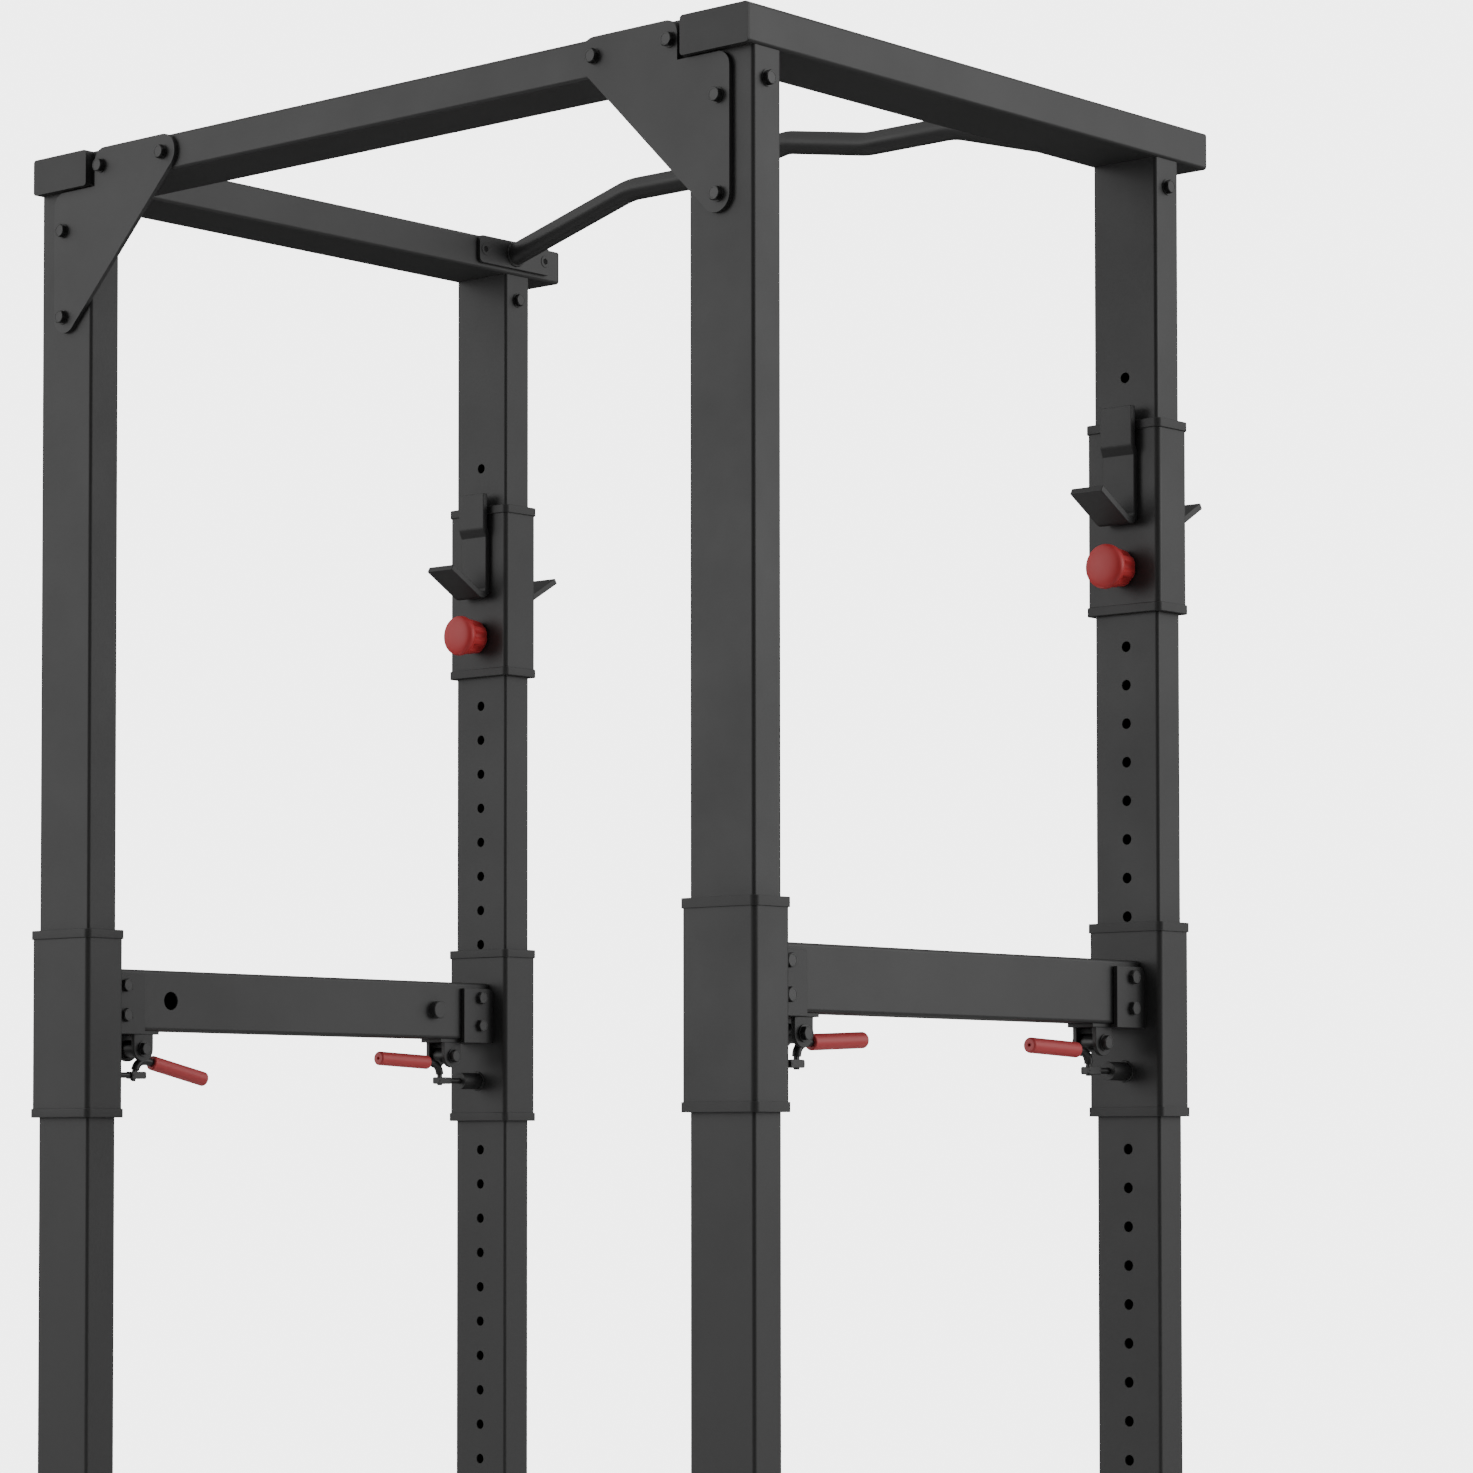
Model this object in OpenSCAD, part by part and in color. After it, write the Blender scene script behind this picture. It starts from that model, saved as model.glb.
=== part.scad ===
// Power cage: four upright tubes tied by flat side beams, with two sliding hook carriages and
// two sliding safety rails that lock into the uprights' holes with spring pins.
// +X runs across the cage, +Y from its closed rear to its open front, +Z up from the floor.

/* [Frame] */
// Distance between the uprights' centres, across the cage
span_x = 1160; // [1000:10:1300]
// Distance between the uprights' centres, from rear to front
span_y = 800; // [700:10:1000]
// Height of the top side beams' upper face
frame_h = 2250; // [2200:50:2400]
// Width of an upright tube, across the cage
tube_x = 100; // [90:1:110]
// Depth of an upright tube, from rear to front
tube_y = 50; // [45:1:60]
// Wall of every frame tube
wall = 3; // [2:0.5:4]
// Outer corner radius of every frame tube
tube_r = 4.5; // [4:0.5:6]
// Width of a side beam, laid flat
beam_w = 106; // [100:1:110]
// Height of a side beam, laid flat
beam_h = 48; // [40:1:55]
// How far a top side beam passes its rear upright
top_overhang_rear = 13; // [12:1:30]
// How far a top side beam passes its front upright
top_overhang_front = 60; // [20:1:80]
// How far a base side beam passes each upright
base_overhang = 135; // [125:5:180]
// Height of a rubber foot
foot_h = 10; // [6:1:20]

/* [Pin holes] */
// Distance between neighbouring holes
pitch = 50; // [50:1:60]
// Height of the lowest hole
first_hole = 120; // [110:5:140]
// Number of holes in each upright
hole_count = 37; // [30:1:37]
// Diameter of a hole
hole_d = 14; // [13.9:0.1:16]

/* [Carriages] */
// Hole that the safety rails' pins sit in, counted from the lowest
safety_hole = 18; // [12:1:20]
// Hole that the hooks' pins sit in, counted from the lowest
hook_hole = 31; // [29:1:32]
// Height of a carriage, with its plastic collars
carriage_h = 250; // [240:1:260]
// Height of a lock pin above its carriage's lower end
pin_z = 58; // [57:1:60]
// Diameter of a lock pin's locking end
pin_d = 13.8; // [13:0.1:13.8]
// How far a safety rail's pin reaches into its upright
pin_reach = 4.3; // [4:0.1:6]
// How far a hook carriage's pin reaches into its upright
pull_reach = 6; // [4:0.1:8]

/* [Safety rails] */
// Width of a rail tube
rail_w = 50; // [40:1:52]
// Height of a rail tube
rail_h = 82; // [70:1:90]
// Height of the rail's lower face above its carriage's lower end
rail_z = 118; // [112:1:120]
// Distance of a lever's pivot from its upright's centre
pivot_y = 101.5; // [100:0.5:104]
// Height of a lever's pivot above its lock pin
pivot_rise = 35.6; // [34:0.1:37]
// How far the rear left lever hangs below the others
slack_deg = 15; // [0:1:15]

/* [Hooks and bars] */
// Width of a hook
hook_w = 50; // [40:1:60]
// Thickness of a hook's plate
hook_t = 9; // [6:0.5:10]
// Diameter of the pull-up bar
bar_d = 32; // [28:1:36]
// Diameter of a pull knob's head
knob_d = 58; // [50:1:60]

/* [Hidden] */
$fn = 64;
SIDES = ["left", "right"];
ENDS = ["rear", "front"];
CORNERS = ["rear_left", "rear_right", "front_left", "front_right"];

floor_beam_top = foot_h + beam_h;         // top of the base side beams
upright_top = frame_h - beam_h;           // the uprights stand between the side beams
upright_len = upright_top - floor_beam_top;
top_beam_z = frame_h - beam_h / 2;
base_beam_z = foot_h + beam_h / 2;
beam_gap = span_x - beam_w;               // clear width between two side beams
cross_w = 100;                            // width of a rear crossbeam, laid flat
rear_face = span_y / 2 + tube_y / 2;      // distance of the rear face from the centre
cap_t = 3;                                // flange of an end cap
cap_plug = 22;                            // how far an end cap reaches into its tube
plug_gap = 0.2;

tenon_len = 70;                           // stub on a side beam inside an upright
tenon_gap = 0.5;
tie_bolt_drop = 36;                       // tie bolt's distance from an upright's end

plate_t = 6;                              // gusset and flange plate
lobe_r = beam_h / 2;                      // round lobe of a gusset
gusset_near = 75;                         // bolts along the crossbeam, from the upright's centre
gusset_far = 196;
gusset_high = 77.5;                       // bolts down the upright, from the crossbeam's centre
gusset_low = 193.5;
bolt_d = 10;
bolt_hole_d = 10.6;
bolt_af = 16;                             // hexagon across flats
bolt_head = 6.5;
washer_d = 20;
washer_t = 2;
nut_h = 8;

bar_y = span_y / 2 - 14;                  // the pull-up bar's vertical plane
bar_end_z = frame_h - 20.5;               // its height at the flanges
bar_grip_x = [294, 142];                  // its bends, out from the middle
bar_grip_z = frame_h + 43.5;              // its level grips
bar_peak_z = frame_h + 67.5;              // its middle
bar_bend_r = [120, 120, 60];
flange_len = 150;
flange_high = 40;
flange_bolt = 63;                         // flange screws, out from the bar
sunk_d = 17;                              // countersunk head
sunk_h = 4;
socket_af = 8;

liner_gap = 0.5;                          // running gap between a liner and its upright
liner_t = 2.5;
sleeve_t = 4;
sleeve_r = 7;                             // outer corner radius of a sleeve
liner_r = sleeve_r - sleeve_t;
collar_t = 2;                             // a collar stands this far past the sleeve
collar_h = 12;
in_x = tube_x + 2 * (liner_gap + liner_t);
in_y = tube_y + 2 * (liner_gap + liner_t);
out_x = in_x + 2 * sleeve_t;
out_y = in_y + 2 * sleeve_t;
face = out_y / 2;                         // sleeve face, from its upright's centre
safety_z = first_hole + safety_hole * pitch - pin_z;
hook_z = first_hole + hook_hole * pitch - pin_z;

saddle_len = 60;
saddle_t = 5;
saddle_rise = 73.5;                       // height of a saddle's cheeks above its floor
saddle_out = rail_w / 2 + 7.3;            // outer face of a cheek
rail_gap = 4;                             // rail end to sleeve
rail_bolt_y = face + 26;
rail_bolt_z = [20, 60];                   // above the rail's lower face
rail_bolt_d = 12;
rail_hole_y = span_y / 2 - 145;           // rear hole and front peg on the rail's inner face
peg_d = 25;
peg_len = 11.5;
ear_in = 12.5;
ear_t = 6;
ear_r = 17;
ear_y = pivot_y + 0.5;
tongue_end = face + 96;
tongue_w = 40;

housing_d = 24;
housing_bore = 16;
housing_len = 37;
housing_wall = 5;
rod_d = 8;
rod_bore = 8.1;
guide_bore = 13.9;
seat_y = face + 1;                        // spring seat on a lock pin
seat_t = 4;
seat_d = 15.4;
foot_y = 8.6;                             // lever foot's centre, out from the pivot
foot_w = 6;
foot_t = 7;
foot_over = 10.5;                         // arm's end above the lock pin's axis
foot_under = 7;                           // foot's end below that axis
clevis_w = 14;
clevis_h = 10;
clevis_slot = foot_w + 0.6;
clevis_wall = 3;
slot_in = 6.4;                            // slot's ends, in and out from the pivot
slot_out = 13.2;

lever_rod_d = 12;
lever_rod_z = -11.1;                      // lever rod's axis below the pivot
lever_rise_deg = 2.5;
hub_d = 24;
grip_start = 34;
grip_len = 100;
grip_d = 20;
grip_round = 3;

barrel_d = 22;
barrel_len = 28;
barrel_wall = 4;
knob_base = face + 2;
knob_len = 46;
knob_bore = 23;
knob_depth = 31;

// Springs: wire, coil radius to the wire's middle, turns.
spring_wire = 1.7;
spring_r = 6.6;
spring_gap = 0.3;                         // spring to its seat on the pin
lock_spring_turns = 6;
pull_spring_turns = 5;

STEEL = [0.24, 0.24, 0.25];
DARK = [0.12, 0.12, 0.13];
RED = [0.62, 0.17, 0.17];
BLACK = [0.07, 0.07, 0.07];
ZINC = [0.6, 0.6, 0.62];

// ---- Placing -----------------------------------------------------------------------------

function side_x(side) = (side == "left" ? -1 : 1) * span_x / 2;
function is_rear(end) = end == "rear";

// Puts a child drawn on an upright's centre, with +Y towards the inside of the cage.
module at_upright(side, end, z = 0) {
    translate([side_x(side), (is_rear(end) ? -1 : 1) * span_y / 2, z])
        if (is_rear(end)) children();
        else mirror([0, 1, 0]) children();
}

// Puts a child drawn along +Z so that it runs along +X, +Y or -Y.
module along_x() { rotate([0, 90, 0]) children(); }
module along_y() { rotate([-90, 0, 0]) children(); }

// ---- Sections and fasteners --------------------------------------------------------------

module round_rect(x, y, r) {
    union() {
        square([x - 2 * r, y], center = true);
        square([x, y - 2 * r], center = true);
        for (sx = [-1, 1], sy = [-1, 1])
            translate([sx * (x / 2 - r), sy * (y / 2 - r)]) circle(r);
    }
}

module tube(x, y, r, t, len) {
    linear_extrude(len) difference() {
        round_rect(x, y, r);
        round_rect(x - 2 * t, y - 2 * t, max(r - t, 0.5));
    }
}

module ring(d_out, d_in, h) {
    difference() {
        cylinder(d = d_out, h = h);
        translate([0, 0, -1]) cylinder(d = d_in, h = h + 2);
    }
}

// Hexagonal prism with its flats `af` apart.
module hexagon(af, h) { cylinder(d = af / cos(30), h = h, $fn = 6); }

// A bolt whose head sits on the plane z = 0 with its washer, and whose shank runs down -Z.
module bolt(d, len) {
    translate([0, 0, washer_t]) hexagon(bolt_af, bolt_head);
    cylinder(d = washer_d, h = washer_t);
    translate([0, 0, -len]) cylinder(d = d, h = len + 1);
}

// A nut on the plane z = 0 that faces +Z, round a shank of diameter d.
module nut(d) {
    difference() {
        hexagon(bolt_af, nut_h);
        translate([0, 0, -1]) cylinder(d = d, h = nut_h + 2);
    }
}

// ---- Frame -------------------------------------------------------------------------------

module pin_holes() {
    for (i = [0 : hole_count - 1])
        translate([0, tube_y / 2 - wall - 1, first_hole + i * pitch])
            along_y() cylinder(d = hole_d, h = wall + 2);
}

module tie_bolt_holes() {
    for (z = [floor_beam_top + tie_bolt_drop, upright_top - tie_bolt_drop])
        translate([-tube_x, 0, z]) along_x() cylinder(d = bolt_hole_d, h = 2 * tube_x);
}

// Holes in the outer face of a rear upright for the gussets' bolts.
module gusset_holes() {
    for (drop = [gusset_high, gusset_low], z = [top_beam_z - drop, base_beam_z + drop])
        translate([0, -tube_y / 2 - 1, z]) along_y() cylinder(d = bolt_hole_d, h = wall + 2);
}

module upright(side, end) {
    color(STEEL) at_upright(side, end) difference() {
        translate([0, 0, floor_beam_top]) tube(tube_x, tube_y, tube_r, wall, upright_len);
        pin_holes();
        tie_bolt_holes();
        if (is_rear(end)) gusset_holes();
    }
}

// Stubs that stand on a side beam and fit inside the two uprights; dir is 1 upwards, -1 down.
// Each rear stub is notched round the nut of the gusset's nearer bolt.
module tenons(z, dir) {
    notch = 2 * nut_h + 12;
    notch_z = gusset_high - beam_h / 2 - notch / 2;
    for (s = [-1, 1])
        translate([0, s * span_y / 2, z]) mirror([0, 0, dir < 0 ? 1 : 0]) difference() {
            tube(tube_x - 2 * (wall + tenon_gap), tube_y - 2 * (wall + tenon_gap),
                tube_r - wall - tenon_gap, wall, tenon_len);
            translate([-tube_x, 0, tie_bolt_drop])
                along_x() cylinder(d = bolt_hole_d, h = 2 * tube_x);
            if (s < 0) translate([-notch / 2, -tube_y / 2, notch_z])
                cube([notch, 3 * wall, tenon_len]);
        }
}

// A side beam's tube from y0 to y1, with its caps' thickness left free.
module side_beam(side, y0, y1, z) {
    translate([side_x(side), y0 + cap_t, z])
        along_y() tube(beam_w, beam_h, tube_r, wall, y1 - y0 - 2 * cap_t);
}

top_y = [-rear_face - top_overhang_rear, rear_face + top_overhang_front];
base_y = [-rear_face - base_overhang, rear_face + base_overhang];

// Holes for the pull-up bar's flange bolts, through a top beam's inner wall.
module flange_holes(side) {
    inward = side == "left" ? 1 : -1;
    for (dy = [-flange_bolt, flange_bolt])
        translate([side_x(side) + inward * (beam_w / 2 - wall - 1), bar_y + dy, bar_end_z])
            mirror([inward < 0 ? 1 : 0, 0, 0]) along_x() cylinder(d = bolt_hole_d, h = wall + 2);
}

module top_beam(side) {
    color(STEEL) union() {
        difference() {
            side_beam(side, top_y[0], top_y[1], top_beam_z);
            flange_holes(side);
        }
        translate([side_x(side), 0, 0]) tenons(upright_top, -1);
    }
}

module base_beam(side) {
    color(STEEL) union() {
        side_beam(side, base_y[0], base_y[1], base_beam_z);
        translate([side_x(side), 0, 0]) tenons(floor_beam_top, 1);
    }
}

module rear_crossbeam(z) {
    color(STEEL) difference() {
        translate([-beam_gap / 2, cross_w / 2 - rear_face, z])
            along_x() rotate([0, 0, 90]) tube(cross_w, beam_h, tube_r, wall, beam_gap);
        for (s = [-1, 1], x = [gusset_near, gusset_far])
            translate([s * (span_x / 2 - x), -rear_face - 1, z])
                along_y() cylinder(d = bolt_hole_d, h = wall + 2);
    }
}

// Gusset outline, drawn for an upright at x = 0, with the crossbeam along +X at y = 0. It is
// notched round the side beam's end and has rounded corners.
module gusset_outline() {
    slope = atan2(gusset_low, gusset_far);
    out = [sin(slope), -cos(slope)];          // away from the slanted edge
    notch_y = -lobe_r - 2;
    notch_x = beam_w / 2 + 10;
    edge = 18;
    low_r = 21.5;
    low = [low_r - edge, -gusset_low];
    soft = 18;
    difference() {
        union() {
            polygon([[notch_x + soft, lobe_r], [gusset_far, lobe_r],
                [gusset_far, 0] + (lobe_r - 0.2) * out, low + (low_r - 0.2) * out,
                [-edge, -gusset_low], [-edge, notch_y - soft], [-edge + soft, notch_y],
                [notch_x, notch_y], [notch_x, lobe_r - soft]]);
            translate([gusset_far, 0]) circle(lobe_r);
            translate(low) circle(low_r);
            translate([notch_x + soft, lobe_r - soft]) circle(soft);
            translate([-edge + soft, notch_y - soft]) circle(soft);
        }
        for (x = [gusset_near, gusset_far]) translate([x, 0]) circle(d = bolt_hole_d);
        for (y = [gusset_high, gusset_low]) translate([0, -y]) circle(d = bolt_hole_d);
    }
}

module gusset_plates() {
    color(STEEL) for (side = SIDES, top = [true, false])
        translate([side_x(side), -rear_face, top ? top_beam_z : base_beam_z])
            mirror([side == "left" ? 0 : 1, 0, 0]) mirror([0, 0, top ? 0 : 1])
                rotate([90, 0, 0]) linear_extrude(plate_t) gusset_outline();
}

// One cap, drawn with its flange outside z = 0 and its plug below it.
module end_cap() {
    difference() {
        union() {
            linear_extrude(cap_t) round_rect(beam_w, beam_h, tube_r);
            translate([0, 0, -cap_plug]) linear_extrude(cap_plug + 1)
                round_rect(beam_w - 2 * (wall + plug_gap), beam_h - 2 * (wall + plug_gap),
                    tube_r - wall);
        }
        translate([0, 0, -cap_plug - 1]) linear_extrude(cap_plug)
            round_rect(beam_w - 4 * wall, beam_h - 4 * wall, 1);
    }
}

module beam_end_caps() {
    color(DARK) for (side = SIDES, level = [[top_y, top_beam_z], [base_y, base_beam_z]])
        translate([side_x(side), 0, level[1]]) {
            translate([0, level[0][1] - cap_t, 0]) along_y() end_cap();
            translate([0, level[0][0] + cap_t, 0]) rotate([90, 0, 0]) end_cap();
        }
}

module rubber_feet() {
    foot_x = beam_w - 8;
    foot_y = 90;
    foot_inset = 12;
    color(BLACK) for (side = SIDES, s = [-1, 1])
        translate([side_x(side), s * (base_y[1] - foot_inset - foot_y / 2), 0])
            linear_extrude(foot_h) round_rect(foot_x, foot_y, 10);
}

// ---- Pull-up bar -------------------------------------------------------------------------

// Corners of the bar's centre line in its vertical plane, left to right.
bar_end_x = beam_gap / 2 + 3;
bar_path = [
    [-bar_end_x, bar_end_z],
    [-bar_grip_x[0], bar_grip_z], [-bar_grip_x[1], bar_grip_z], [0, bar_peak_z],
    [bar_grip_x[1], bar_grip_z], [bar_grip_x[0], bar_grip_z],
    [bar_end_x, bar_end_z]
];
bar_radii = [0, bar_bend_r[0], bar_bend_r[1], bar_bend_r[2], bar_bend_r[1], bar_bend_r[0], 0];
bar_wall = 3;

function heading(p, q) = atan2(q[1] - p[1], q[0] - p[0]);
// Length that a bend takes from the straight on each side of its corner.
function bend_cut(path, radii, i) = i == 0 || i == len(path) - 1 ? 0 :
    radii[i] * tan(abs(heading(path[i], path[i + 1]) - heading(path[i - 1], path[i])) / 2);

// A round rod of diameter d along a path in the X-Z plane: straights, then bends. Each bend
// starts a little inside its straights and is a hair thinner, as a drawn bend is.
module bent_rod(path, radii, d) {
    lap = 0.8;
    for (i = [0 : len(path) - 2]) {
        a = heading(path[i], path[i + 1]);
        start = bend_cut(path, radii, i);
        run = norm(path[i + 1] - path[i]) - start - bend_cut(path, radii, i + 1);
        translate([path[i][0] + start * cos(a), 0, path[i][1] + start * sin(a)])
            rotate([0, 90 - a, 0]) cylinder(d = d, h = run);
    }
    for (i = [1 : len(path) - 2]) {
        a = heading(path[i - 1], path[i]);
        turn = heading(path[i], path[i + 1]) - a;
        s = sign(turn);
        cut = bend_cut(path, radii, i);
        centre = [path[i][0] - cut * cos(a) - s * radii[i] * sin(a),
            path[i][1] - cut * sin(a) + s * radii[i] * cos(a)];
        translate([centre[0], 0, centre[1]]) rotate([90, 0, 0])
            rotate([0, 0, a - 90 * s + (turn < 0 ? turn : 0) - lap])
                rotate_extrude(angle = abs(turn) + 2 * lap)
                    translate([radii[i], 0]) circle(d = d - 0.2);
    }
}

module pullup_flange(inward) {
    translate([-inward * beam_gap / 2, bar_y, bar_end_z])
        mirror([inward > 0 ? 0 : 1, 0, 0]) along_x() rotate([0, 0, 90]) difference() {
            linear_extrude(plate_t) round_rect(flange_len, flange_high, 8);
            for (s = [-1, 1]) translate([s * flange_bolt, 0, 0]) {
                translate([0, 0, -1]) cylinder(d = bolt_hole_d, h = plate_t + 2);
                translate([0, 0, plate_t - sunk_h])
                    cylinder(d1 = bolt_hole_d, d2 = sunk_d + 0.6, h = sunk_h + 0.01);
            }
        }
}

module pullup_bar() {
    color(STEEL) difference() {
        union() {
            intersection() {
                translate([0, bar_y, 0]) bent_rod(bar_path, bar_radii, bar_d);
                translate([-beam_gap / 2, 0, 0]) cube([beam_gap, span_y, 2 * frame_h]);
            }
            for (inward = [-1, 1]) pullup_flange(inward);
        }
        translate([0, bar_y, 0]) bent_rod(bar_path, bar_radii, bar_d - 2 * bar_wall);
    }
}

// ---- Frame fasteners ---------------------------------------------------------------------

module gusset_bolt(x, z) {
    grip = plate_t + wall;
    translate([x, -rear_face - plate_t, z]) rotate([90, 0, 0]) bolt(bolt_d, grip + nut_h + 4);
    translate([x, -rear_face + wall, z]) along_y() nut(bolt_d);
}

module frame_bolts() {
    tie_reach = tube_x / 2;
    color(DARK) {
        for (side = SIDES, up = [-1, 1], at = [[gusset_near, 0], [gusset_far, 0],
                [0, gusset_high], [0, gusset_low]]) {
            s = side == "left" ? 1 : -1;
            level = up > 0 ? top_beam_z - at[1] : base_beam_z + at[1];
            gusset_bolt(side_x(side) + s * at[0], level);
        }
        for (side = SIDES, y = [-span_y / 2, span_y / 2],
                z = [floor_beam_top + tie_bolt_drop, upright_top - tie_bolt_drop])
            translate([side_x(side), y, z]) {
                translate([tie_reach, 0, 0]) along_x() tie_bolt();
                translate([-tie_reach, 0, 0]) rotate([0, -90, 0]) nut(bolt_d);
            }
        for (inward = [-1, 1], dy = [-flange_bolt, flange_bolt])
            translate([-inward * (beam_gap / 2 - plate_t), bar_y + dy, bar_end_z])
                mirror([inward > 0 ? 0 : 1, 0, 0]) along_x() sunk_screw();
    }
}

// A tie bolt without a washer, through an upright and its tenon.
module tie_bolt() {
    hexagon(bolt_af, bolt_head);
    translate([0, 0, -tube_x - nut_h]) cylinder(d = bolt_d, h = tube_x + nut_h + 1);
}

// A countersunk screw with a hexagon socket, its head flush with z = 0, and its nut.
module sunk_screw() {
    reach = plate_t + wall + nut_h;
    difference() {
        union() {
            translate([0, 0, -sunk_h]) cylinder(d1 = bolt_d, d2 = sunk_d, h = sunk_h);
            translate([0, 0, -reach]) cylinder(d = bolt_d, h = reach - sunk_h + 1);
        }
        translate([0, 0, 0.5 - sunk_h]) hexagon(socket_af, sunk_h);
    }
    translate([0, 0, -reach]) nut(bolt_d);
}

// ---- Carriages ---------------------------------------------------------------------------

// Cuts the pin's hole through the inner wall of a sleeve or liner.
module guide_hole(d) {
    translate([0, 0, pin_z]) along_y() cylinder(d = d, h = out_y);
}

module sleeve_body() {
    difference() {
        translate([0, 0, collar_h])
            tube(out_x, out_y, sleeve_r, sleeve_t, carriage_h - 2 * collar_h);
        guide_hole(guide_bore);
    }
}

module liner_body() {
    difference() {
        union() {
            linear_extrude(carriage_h) round_rect(in_x, in_y, liner_r);
            for (z = [0, carriage_h - collar_h]) translate([0, 0, z]) linear_extrude(collar_h)
                round_rect(out_x + 2 * collar_t, out_y + 2 * collar_t, sleeve_r + 1.5);
        }
        translate([0, 0, -1]) linear_extrude(carriage_h + 2)
            round_rect(tube_x + 2 * liner_gap, tube_y + 2 * liner_gap, tube_r);
        guide_hole(hole_d + 1);
    }
}

// ---- Safety rails ------------------------------------------------------------------------

module safety_sleeve(side, end) {
    color(STEEL) at_upright(side, end, safety_z) sleeve_body();
}

module safety_liners(side) {
    color(BLACK) for (end = ENDS) at_upright(side, end, safety_z) liner_body();
}

module rail_bolt_holes(d) {
    for (end = [-1, 1], z = rail_bolt_z)
        translate([-rail_w, end * (span_y / 2 - rail_bolt_y), z])
            along_x() cylinder(d = d, h = 2 * rail_w);
}

// Puts a child drawn along +Z on the middle of the rail's inner face, pointing into the cage.
module on_rail_face(side, y) {
    inward = side == "left" ? 1 : -1;
    translate([inward * rail_w / 2, y, rail_h / 2])
        mirror([inward > 0 ? 0 : 1, 0, 0]) along_x() children();
}

module safety_rail(side) {
    len = span_y - 2 * (face + rail_gap);
    color(STEEL) translate([side_x(side), 0, safety_z + rail_z]) {
        union() {
            difference() {
                translate([0, -len / 2, rail_h / 2])
                    along_y() tube(rail_w, rail_h, tube_r, wall, len);
                rail_bolt_holes(rail_bolt_d + 0.6);
                on_rail_face(side, -rail_hole_y)
                    translate([0, 0, -wall - 1]) cylinder(d = peg_d, h = wall + 2);
            }
            on_rail_face(side, rail_hole_y) {
                translate([0, 0, -1]) cylinder(d = peg_d, h = peg_len);
                translate([0, 0, peg_len - 1.01]) cylinder(d1 = peg_d, d2 = peg_d - 2, h = 1.01);
            }
        }
    }
}

// A saddle's side plate, with a rounded upper corner next to the sleeve.
module cheek(t) {
    round = 10;
    high = saddle_rise + saddle_t;
    along_x() linear_extrude(t) union() {
        translate([-high + round, 0]) square([high - round, saddle_len]);
        translate([-high, round]) square([round + 1, saddle_len - round]);
        translate([-high + round, round]) circle(round);
    }
}

// The U that holds the rail's end, with the tongue that carries the lever's ears.
module saddle() {
    floor_z = rail_z - saddle_t;
    cheek_in = rail_w / 2 + 1.3;
    difference() {
        union() {
            translate([-saddle_out, face, floor_z]) cube([2 * saddle_out, saddle_len, saddle_t]);
            for (s = [-1, 1]) translate([s > 0 ? cheek_in : -saddle_out, face, floor_z])
                cheek(saddle_out - cheek_in);
            translate([-tongue_w / 2, face + saddle_len - 1, floor_z])
                cube([tongue_w, tongue_end - face - saddle_len + 1, saddle_t]);
        }
        for (z = rail_bolt_z) translate([-rail_w, rail_bolt_y, rail_z + z])
            along_x() cylinder(d = rail_bolt_d + 0.6, h = 2 * rail_w);
    }
}

module ear(x) {
    z0 = pin_z + pivot_rise;
    top = rail_z - saddle_t;
    translate([x, 0, 0]) along_x() difference() {
        union() {
            translate([-z0, ear_y, 0]) cylinder(r = ear_r, h = ear_t);
            translate([-top, ear_y - ear_r, 0]) cube([top - z0, 2 * ear_r, ear_t]);
        }
        translate([-z0, pivot_y, -1]) cylinder(d = bolt_d + 0.1, h = ear_t + 2);
    }
}

// Tube on the sleeve's face that holds a lock pin's spring, with a guide at its outer end.
module pin_housing(d, len, end_wall) {
    translate([0, face, pin_z]) along_y() difference() {
        cylinder(d = d, h = len);
        translate([0, 0, -1]) cylinder(d = housing_bore, h = len - end_wall + 1);
        cylinder(d = rod_bore, h = len + 1);
    }
}

module safety_brackets(side) {
    color(STEEL) for (end = ENDS) at_upright(side, end, safety_z) {
        union() {
            saddle();
            ear(ear_in);
            ear(-ear_in - ear_t);
        }
        pin_housing(housing_d, housing_len, housing_wall);
    }
}

module safety_bolts(side) {
    ear_out = ear_in + ear_t;
    color(DARK) for (end = ENDS) at_upright(side, end, safety_z) {
        for (z = rail_bolt_z) translate([0, rail_bolt_y, rail_z + z]) {
            translate([saddle_out, 0, 0]) along_x() flat_bolt(rail_bolt_d, 2 * saddle_out + nut_h);
            translate([-saddle_out, 0, 0]) rotate([0, -90, 0]) nut(rail_bolt_d);
        }
        translate([0, pivot_y, pin_z + pivot_rise]) {
            translate([ear_out, 0, 0]) along_x() bolt(bolt_d, 2 * ear_out + nut_h);
            translate([-ear_out, 0, 0]) rotate([0, -90, 0]) nut(bolt_d);
        }
    }
}

// A hexagon bolt without a washer.
module flat_bolt(d, len) {
    hexagon(bolt_af, bolt_head);
    translate([0, 0, -len]) cylinder(d = d, h = len + 1);
}

// ---- Levers and lock pins ----------------------------------------------------------------

function slack(side, end) = side == "left" && end == "rear" ? slack_deg : 0;

// Puts a child drawn round the pivot, with +Y out from the upright, at its resting angle.
module at_pivot(side, end) {
    at_upright(side, end, safety_z) translate([0, pivot_y, pin_z + pivot_rise])
        rotate([-slack(side, end), 0, 0]) children();
}

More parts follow.
